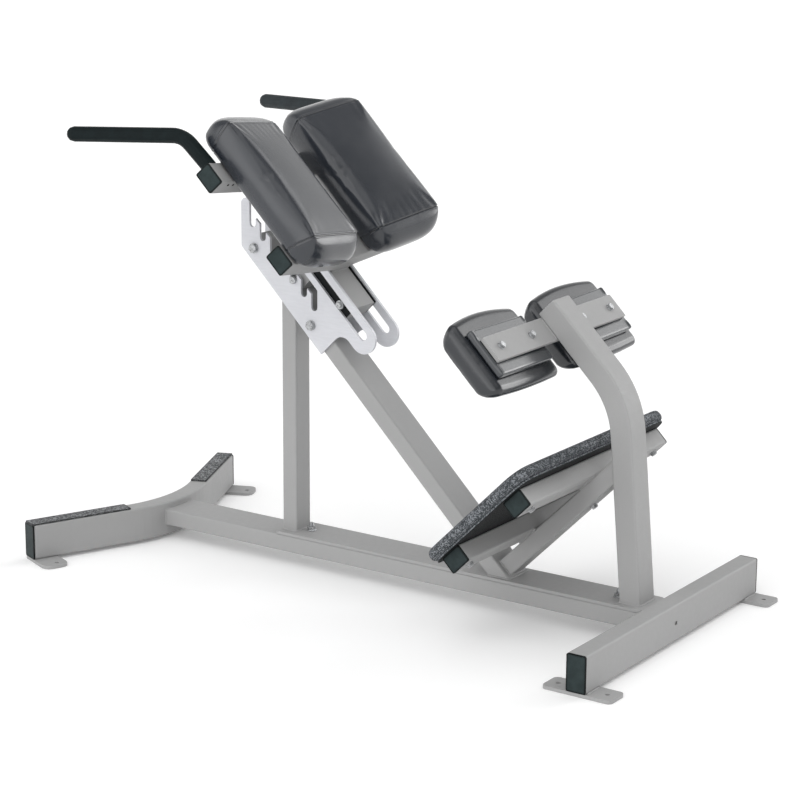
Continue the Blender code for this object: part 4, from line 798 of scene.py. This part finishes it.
def ankle_covers():
    for side, sign in SIDES:
        rotation = tilted(sign * ANKLE_TILT)
        low, high = node_frame("ankle_pad_" + side, rotation)
        full = ankle_form(rounded_grid(ANKLE_HALF, ANKLE_EDGE, CELL)[0])
        centre = ((low + high) - (full.min(axis=0) + full.max(axis=0))) / 2
        middle = rotation @ Vector((centre[0], centre[1], high[2]))
        smaller = np.array(ANKLE_HALF) - (ANKLE_SWELL, ANKLE_SWELL, ANKLE_SWELL / 2)
        places, keys, faces, last = rounded_grid(smaller, ANKLE_EDGE, CELL)
        form = ankle_form(places, 1.0)
        form[:, 2] += ANKLE_SWELL / 2
        cover = mesh_object("ankle_cover_" + side, form, faces, LOOKS["ankle_vinyl"])
        loops = [end_loop(keys, last, 1, end) for end in (0, last[1])]
        swollen(cover, held_points(keys, last[2], loops), ANKLE_CAP)
        lines = [fine_line(mesh_places(cover.data)[loop]) for loop in loops]
        subdivided(cover)
        drawn_in(cover, lines, depth=0.25 * MM, width=1.0 * MM, roll=0.0, pucker=0.25 * MM, shade=0.15)
        cover.data.transform(Matrix.Translation(middle) @ rotation)
        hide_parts("ankle_pad_" + side)
        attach(cover, "base")


# Ankle boards, wrapped in vinyl
BOARD_HALF = (0.0540, 0.0990, 0.0080)
BOARD_EDGE = 0.0050
BOARD_FOLD = 0.0016
BOARD_FULL = 0.4 * MM

# Where the corner folds start and how fast they rise, as shares of the board's half width and length
FOLD_ACROSS = (0.90, 0.02)
FOLD_ALONG = (0.62, 0.03)


def wrapped_boards():
    """The ankle boards' wraps: soft edges, a fold at each corner and a slightly full back."""
    for side, sign in SIDES:
        rotation = tilted(sign * ANKLE_TILT)
        low, high = node_frame("ankle_board_" + side, rotation)
        middle = rotation @ Vector([(first + second) / 2 for first, second in zip(low, high)])
        places, _, faces, _ = rounded_grid(BOARD_HALF, BOARD_EDGE, CELL)
        u, v, w = (places / np.array(BOARD_HALF)).T
        fold = BOARD_FOLD * np.clip((np.abs(v) - FOLD_ACROSS[0]) / FOLD_ACROSS[1], 0.0, 1.0)
        fold *= np.clip((np.abs(u) - FOLD_ALONG[0]) / FOLD_ALONG[1], 0.0, 1.0)
        places[:, 2] += np.where(w > 0.5, fold - 0.5 * BOARD_FOLD, 0.0)
        places[:, 2] += np.where(w > 0.0, BOARD_FULL * (1.0 - u * u) * (1.0 - v * v), 0.0)
        wrap = mesh_object("ankle_wrap_" + side, places, faces, LOOKS["board_vinyl"])
        subdivided(wrap)
        smooth(wrap.data)
        wrap.data.transform(Matrix.Translation(middle) @ rotation)
        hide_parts("ankle_board_" + side)
        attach(wrap, "base")


# Bolts, plugs and weld beads

SEGMENTS = 36
SHARP_ANGLE = math.radians(28.0)
BOLT_CHAMFER = 0.92
BOLT_FLATS = 13.0 * MM
BOLT_HEIGHT = 5.5 * MM
BOLT_WASHER = 8.5 * MM
BOLT_WASHER_THICK = 1.6 * MM
BOLT_SHANK = 8.0 * MM
BOLT_DEEP = 6.0 * MM
ANKLE_BOLT_HEIGHT = 6.0 * MM
NUT_FLATS = 16.0 * MM
NUT_HEIGHT = 8.0 * MM
NUT_WASHER = 11.0 * MM
NUT_WASHER_THICK = 2.0 * MM
NUT_SHANK = 10.0 * MM
NUT_PROUD = 8.0 * MM
WASHER_EDGE = 0.3 * MM
THREAD_PITCH = 1.25 * MM
WELD = 2.2 * MM
WELD_WIDE = 2.4 * MM
WELD_FINE = 1.8 * MM
BEAD_STEP = 0.8 * MM
BEAD_RIPPLE = 3.4 * MM
BEAD_SIDES = 8
WORLD = Matrix.Identity(4)
FOOT_TUBES = ("foot_tube_upper", "foot_tube_lower")
PAD_TUBES = ("pad_tube_upper", "pad_tube_lower")
DOWN_SLOPE = SLOPE.to_3x3() @ Vector((1, 0, 0))
OFF_SLOPE = SLOPE.to_3x3() @ Vector((0, 0, 1))


def hexagon(flats, turn):
    """How far a hexagon reaches at an angle."""
    part = (turn + math.pi / 6) % (math.pi / 3) - math.pi / 6
    return flats / 2 / math.cos(part)


def turned_piece(name, rings, place, axis, body, slot="steel"):
    """A closed piece of rings round an axis; a ring is a height and a radius for each angle."""
    turns = [2 * math.pi * index / SEGMENTS for index in range(SEGMENTS)]
    places = []
    for rise, reach in rings:
        for turn in turns:
            far = reach(turn) if callable(reach) else reach
            high = rise(turn) if callable(rise) else rise
            places.append((far * math.cos(turn), far * math.sin(turn), high))
    faces = [tuple(reversed(range(SEGMENTS)))]
    for ring in range(len(rings) - 1):
        low = ring * SEGMENTS
        for index in range(SEGMENTS):
            following = (index + 1) % SEGMENTS
            high = low + SEGMENTS
            faces.append((low + index, low + following, high + following, high + index))
    faces.append(tuple(range((len(rings) - 1) * SEGMENTS, len(rings) * SEGMENTS)))
    obj = mesh_object(name, places, faces, LOOKS[slot])
    turned = Vector(axis).to_track_quat("Z", "Y").to_matrix().to_4x4()
    obj.data.transform(Matrix.Translation(place) @ turned)
    smooth(obj.data)
    obj.data.set_sharp_from_angle(angle=SHARP_ANGLE)
    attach(obj, body)
    return obj


def hex_rings(base, flats, height):
    """A hexagon head with its chamfered crown."""
    crown = flats / 2 * BOLT_CHAMFER
    fall = math.tan(math.radians(30.0))
    return [
        (base, lambda turn: hexagon(flats, turn)),
        (
            lambda turn: base + height - (hexagon(flats, turn) - crown) * fall,
            lambda turn: hexagon(flats, turn),
        ),
        (base + height, crown),
        (base + height, crown * 0.8),
        (base + height - 0.25 * MM, crown * 0.74),
    ]


def washer_rings(radius, thick, hole):
    """A washer with broken edges."""
    edge = radius - WASHER_EDGE
    return [(0.0, hole), (0.0, edge), (WASHER_EDGE, radius), (thick - WASHER_EDGE, radius), (thick, edge)]


def bolt(name, place, axis, body, height=BOLT_HEIGHT, deep=BOLT_DEEP):
    """A hexagon bolt on its washer, with the start of its shank in the hole below."""
    rings = [(-deep, BOLT_SHANK / 2)]
    rings += washer_rings(BOLT_WASHER, BOLT_WASHER_THICK, BOLT_SHANK / 2)
    rings += hex_rings(BOLT_WASHER_THICK, BOLT_FLATS, height)
    return turned_piece(name, rings, place, axis, body)


def nut_and_thread(name, place, axis, body, deep):
    """A washer and a nut on a threaded end that stands proud of it."""
    crest = NUT_SHANK / 2
    rings = [(-deep, crest)]
    rings += washer_rings(NUT_WASHER, NUT_WASHER_THICK, crest)
    rings += hex_rings(NUT_WASHER_THICK, NUT_FLATS, NUT_HEIGHT)[:3]
    rise = NUT_WASHER_THICK + NUT_HEIGHT
    while rise < NUT_WASHER_THICK + NUT_HEIGHT + NUT_PROUD - THREAD_PITCH:
        rings += [(rise, crest * 0.86), (rise + THREAD_PITCH / 2, crest)]
        rise += THREAD_PITCH
    rings += [(rise, crest * 0.86), (rise + 0.5 * MM, crest * 0.8), (rise + 0.7 * MM, crest * 0.6)]
    return turned_piece(name, rings, place, axis, body)


def hull(points):
    """Indexes of the points round the outside of a flat set, in order."""
    order = sorted(range(len(points)), key=lambda index: (points[index][0], points[index][1]))

    def half(run):
        chain = []
        for index in run:
            while len(chain) > 1:
                a, b, c = points[chain[-2]], points[chain[-1]], points[index]
                if (b[0] - a[0]) * (c[1] - a[1]) - (b[1] - a[1]) * (c[0] - a[0]) > 0.0:
                    break
                chain.pop()
            chain.append(index)
        return chain[:-1]

    return half(order) + half(order[::-1])


def end_outline(node, frame_matrix, axis, end, reach=2.0 * MM):
    """The outer border of a node's end, as world places."""
    back = frame_matrix.inverted()
    low, high = framed_box(node, frame_matrix)
    limit = high[axis] if end else low[axis]
    near = [back @ vertex.co for vertex in NODES[node].data.vertices]
    near = [place for place in near if abs(place[axis] - limit) < reach]
    first, second = [other for other in range(3) if other != axis]
    ring = hull([(place[first], place[second]) for place in near])
    return [frame_matrix @ near[index] for index in ring]


def bead(run, places, faces, closed, radius, seed):
    """Adds a rippled weld bead along a run of places."""
    line, cuts = cut_evenly(run, BEAD_STEP, closed, 3)
    count = len(line)
    source = random.Random(seed)
    base = len(places)
    for index in range(count):
        ahead = line[(index + 1) % count] if closed or index + 1 < count else line[index]
        behind = line[index - 1] if closed or index else line[index]
        tangent = Vector(ahead - behind).normalized()
        side = tangent.cross(Vector((0.36, 0.48, 0.80))).normalized()
        rise = side.cross(tangent)
        ripple = 0.5 + 0.5 * math.cos(2 * math.pi * cuts[index] / BEAD_RIPPLE)
        wide = radius * (0.86 + 0.16 * ripple + source.uniform(-0.03, 0.03))
        if not closed:
            wide *= min(1.0, 0.35 + min(index, count - 1 - index) * 0.22)
        for turn in range(BEAD_SIDES):
            angle = 2 * math.pi * turn / BEAD_SIDES
            shift = side * math.cos(angle) + rise * math.sin(angle)
            places.append(tuple(Vector(line[index]) + shift * wide))
    rings = count if closed else count - 1
    for index in range(rings):
        low = base + index * BEAD_SIDES
        high = base + (index + 1) % count * BEAD_SIDES
        for turn in range(BEAD_SIDES):
            following = (turn + 1) % BEAD_SIDES
            faces.append((low + turn, low + following, high + following, high + turn))
    if not closed:
        faces.append(tuple(range(base, base + BEAD_SIDES))[::-1])
        faces.append(tuple(range(base + (count - 1) * BEAD_SIDES, base + count * BEAD_SIDES)))


def weld_beads():
    """Beads where the frame's tubes and plates meet."""
    strut_low, strut_high = framed_box("foot_strut")
    runs = [
        (end_outline("foot_strut", SLOPE, 2, 0), True, WELD),
        (end_outline("diagonal_tube", WORLD, 2, 0), True, WELD_WIDE),
        (end_outline("front_post", WORLD, 2, 0), True, WELD_WIDE),
        (end_outline("rear_post", WORLD, 2, 0), True, WELD_WIDE),
        (end_outline("base_rail", WORLD, 0, 1), True, WELD_WIDE),
        (end_outline("base_rail", WORLD, 0, 0, 12.0 * MM), True, WELD),
    ]
    diagonal_low = framed_box("diagonal_tube")[0]
    post_head = [SLOPE.inverted() @ vertex.co for vertex in NODES["front_post"].data.vertices]
    head = [place for place in post_head if abs(place.z - diagonal_low[2]) < 2.0 * MM]
    ring = hull([(place.x, place.y) for place in head])
    runs.append(([SLOPE @ head[index] for index in ring], True, WELD))
    for node in FOOT_TUBES:
        low, high = framed_box(node)
        first, last = strut_low[1], strut_high[1]
        corners = [(first, low[2]), (last, low[2]), (last, high[2]), (first, high[2])]
        runs.append(([on_slope(high[0], y, n) for y, n in corners], True, WELD))
    cross_low, cross_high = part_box("rear_crossbar")
    for node in ("rear_foot_plate_near", "rear_foot_plate_far"):
        low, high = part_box(node)
        first = max(low[1], cross_low[1]) + 4.0 * MM
        last = min(high[1], cross_high[1]) - 4.0 * MM
        for x in (cross_low[0], cross_high[0]):
            runs.append(([Vector((x, first, high[2])), Vector((x, last, high[2]))], False, WELD))
    post_low, post_high = framed_box("rear_post")
    low, high = framed_box("ankle_bar")
    for y in (post_low[1], post_high[1]):
        inset = 3.0 * MM
        ends = (low[0] + inset, high[0] - inset)
        runs.append(([on_slope(s, y, high[2]) for s in ends], False, WELD_FINE))
    welded("welds_base", runs, "base")
    runs = []
    tube_low, tube_high = framed_box("carriage_tube")
    for node in PAD_TUBES:
        low, high = framed_box(node)
        for s in (low[0], high[0]):
            if s > tube_low[0] + 3.0 * MM:
                ends = [on_slope(s, y, tube_high[2]) for y in (-30.0 * MM, 30.0 * MM)]
                runs.append((ends, False, WELD))
    welded("welds_carriage", runs, "carriage")


def welded(name, runs, body):
    places, faces = [], []
    for seed, (run, closed, radius) in enumerate(runs):
        bead(run, places, faces, closed, radius, seed + 41)
    obj = mesh_object(name, places, faces, LOOKS["frame_paint"])
    smooth(obj.data)
    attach(obj, body)


# Places of the small fittings, and how far below a tube its bolt's place is looked for
SEARCH_DROP = 50.0 * MM
FOOT_BOLT_Y = 0.2440
STRUT_BOLT_N = 0.0580
HIP_BOLT_Y = 0.1460
PLUG_S = framed_box("pad_tube_upper")[1][0]
PLUG_Y = 0.2436
PLUG_PITCH = 0.0190
PLUG_N = -0.0269
PLUG_RINGS = [
    (-3.0 * MM, 2.6 * MM),
    (0.1 * MM, 2.6 * MM),
    (0.5 * MM, 3.0 * MM),
    (0.9 * MM, 2.4 * MM),
    (0.4 * MM, 1.2 * MM),
]


def small_fittings():
    """Bolts, nuts and plugs of the tubes, the ankle bar and the mount strip."""
    for node in FOOT_TUBES:
        low, high = framed_box(node)
        middle = (low[2] + high[2]) / 2
        for side, sign in SIDES:
            place = on_slope(high[0], sign * FOOT_BOLT_Y, middle)
            bolt("%s_bolt_%s" % (node, side), place, DOWN_SLOPE, "base")
    high = framed_box("foot_strut")[1]
    bolt("strut_bolt", on_slope(high[0], 0.0, STRUT_BOLT_N), DOWN_SLOPE, "base")
    bar_high = framed_box("ankle_bar")[1]
    for node in [name for name in NODES if name.startswith("ankle_bolt")]:
        low, high = framed_box(node)
        place = on_slope((low[0] + high[0]) / 2, (low[1] + high[1]) / 2, bar_high[2])
        piece = bolt(node + "_head", place, OFF_SLOPE, "base", ANKLE_BOLT_HEIGHT, bar_high[2] - low[2])
        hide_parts(node)
    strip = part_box("mount_strip")[1]
    for node in ("strip_bolt_front", "strip_bolt_rear"):
        low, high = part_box(node)
        place = ((low[0] + high[0]) / 2, (low[1] + high[1]) / 2, strip[2])
        piece = nut_and_thread(node + "_nut", place, (0, 0, 1), "base", strip[2] - low[2])
        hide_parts(node)
    for node in PAD_TUBES:
        low, high = framed_box(node)
        surface = surface_of(NODES[node].data)
        for side, sign in SIDES:
            start = on_slope((low[0] + high[0]) / 2, sign * HIP_BOLT_Y, low[2] - SEARCH_DROP)
            spot, normal, _, _ = surface.ray_cast(start, OFF_SLOPE)
            bolt("hip_bolt_%s_%s" % (node, side), spot, normal, "carriage")
    for side, sign in SIDES:
        for number, inward in enumerate((0.0, PLUG_PITCH)):
            place = on_slope(PLUG_S, sign * (PLUG_Y - inward), PLUG_N - inward * math.tan(HIP_TILT))
            name = "tube_plug_%s_%d" % (side, number)
            turned_piece(name, PLUG_RINGS, place, DOWN_SLOPE, "carriage", "black_plastic")


# Light, floor and camera

GROUND = 40.0
GROUND_Z = -0.3 * MM
FLOOR_LIFT = 0.08
SKY_LEVEL = 0.63

# The ceiling's level in reflections, and the heights between which it dims
DIM_LEVEL = 0.32
DIM_FROM = 0.20
DIM_TO = 0.66

# Lamps: name, where the light comes from, level and angle in degrees
LAMPS = (
    ("key", (0.10, -0.12, 0.98), 0.55, 60.0),
    ("fill", (-0.08, -0.90, 0.43), 1.25, 80.0),
    ("rim", (0.46, 0.84, 0.26), 0.62, 32.0),
    ("back", (0.25, 0.80, 0.545), 0.17, 24.0),
)


def make_world():
    """White around the bench, with a dimmer ceiling in its reflections, as in a studio."""
    world = bpy.data.worlds.new("studio")
    bpy.context.scene.world = world
    world.use_nodes = True
    tree = world.node_tree
    tree.nodes.clear()

    def backdrop(strength):
        made = add_node(tree, "ShaderNodeBackground")
        made.inputs["Color"].default_value = (1.0, 1.0, 1.0, 1.0)
        if isinstance(strength, bpy.types.NodeSocket):
            tree.links.new(strength, made.inputs["Strength"])
        else:
            made.inputs["Strength"].default_value = strength
        return made.outputs[0]

    def chosen(share, first, second):
        made = add_node(tree, "ShaderNodeMixShader")
        tree.links.new(share, made.inputs["Fac"])
        tree.links.new(first, made.inputs[1])
        tree.links.new(second, made.inputs[2])
        return made.outputs[0]

    path = add_node(tree, "ShaderNodeLightPath")
    way = add_node(tree, "ShaderNodeTexCoord")
    parts = add_node(tree, "ShaderNodeSeparateXYZ")
    tree.links.new(way.outputs["Generated"], parts.inputs[0])
    ceiling = add_node(tree, "ShaderNodeMapRange", interpolation_type="SMOOTHSTEP")
    tree.links.new(parts.outputs["Z"], ceiling.inputs["Value"])
    limits = (("From Min", DIM_FROM), ("From Max", DIM_TO), ("To Min", 1.0), ("To Max", DIM_LEVEL))
    for socket, value in limits:
        ceiling.inputs[socket].default_value = value
    seen = add_node(tree, "ShaderNodeMath", operation="MAXIMUM")
    tree.links.new(path.outputs["Is Camera Ray"], seen.inputs[0])
    tree.links.new(path.outputs["Is Transmission Ray"], seen.inputs[1])
    lit = chosen(path.outputs["Is Glossy Ray"], backdrop(SKY_LEVEL), backdrop(ceiling.outputs["Result"]))
    mix = chosen(seen.outputs[0], lit, backdrop(1.0))
    out = add_node(tree, "ShaderNodeOutputWorld")
    tree.links.new(mix, out.inputs["Surface"])


def make_floor():
    """A plain pale floor, lifted a little for the camera alone, so that its shadow stays."""
    look = Look("pale_floor", Roughness=0.95, Specular_IOR_Level=0.0)
    grain = look.ramp(look.noise(3.0, 3.0), 0.3, 0.7)
    look.to("Base Color", look.mix(grain, (0.965, 0.965, 0.965), (0.975, 0.975, 0.975)))
    look.to("Emission Color", (1.0, 1.0, 1.0))
    seen = look.node("ShaderNodeLightPath").outputs["Is Camera Ray"]
    look.to("Emission Strength", look.maths("MULTIPLY", seen, FLOOR_LIFT))
    half = GROUND
    corners = [(-half, -half, 0), (half, -half, 0), (half, half, 0), (-half, half, 0)]
    floor = mesh_object("floor", corners, [(0, 1, 2, 3)], look.material)
    floor.location = (0.0, 0.0, GROUND_Z)


def make_lamp(name, direction, strength, angle):
    lamp = bpy.data.lights.new(name, "SUN")
    lamp.energy = strength
    lamp.angle = math.radians(angle)
    obj = new_object(name, lamp)
    obj.rotation_mode = "QUATERNION"
    obj.rotation_quaternion = (-Vector(direction)).to_track_quat("-Z", "Y")


CAMERA_AZIMUTH = math.radians(34.19821347)
CAMERA_RISE = math.radians(14.49371438)
CAMERA_ROLL = math.radians(0.31812791)
CAMERA_DISTANCE = 5.06158083
CAMERA_AIM = (0.02168, 0.0, 0.40209)
CAMERA_LENS = 108.718
CAMERA_SENSOR = 36.0
CAMERA_FAR = 200.0


def make_camera():
    data = bpy.data.cameras.new("camera")
    data.sensor_width = CAMERA_SENSOR
    data.lens = CAMERA_LENS
    data.clip_end = CAMERA_FAR
    camera = new_object("camera", data)
    across = Vector((math.cos(CAMERA_AZIMUTH), math.sin(CAMERA_AZIMUTH), 0.0))
    level = math.cos(CAMERA_RISE)
    back = Vector((
        math.sin(CAMERA_AZIMUTH) * level,
        -math.cos(CAMERA_AZIMUTH) * level,
        math.sin(CAMERA_RISE),
    ))
    up = back.cross(across)
    turned = across * math.cos(CAMERA_ROLL) + up * math.sin(CAMERA_ROLL)
    raised = up * math.cos(CAMERA_ROLL) - across * math.sin(CAMERA_ROLL)
    matrix = Matrix((turned, raised, back)).transposed().to_4x4()
    matrix.translation = Vector(CAMERA_AIM) + back * CAMERA_DISTANCE
    camera.matrix_world = matrix
    bpy.context.scene.camera = camera


def make_studio():
    bpy.context.scene.view_settings.view_transform = "Standard"
    make_world()
    make_floor()
    for lamp in LAMPS:
        make_lamp(*lamp)
    make_camera()


make_studio()
dress_nodes()
hip_covers()
ankle_covers()
wrapped_boards()
weld_beads()
small_fittings()
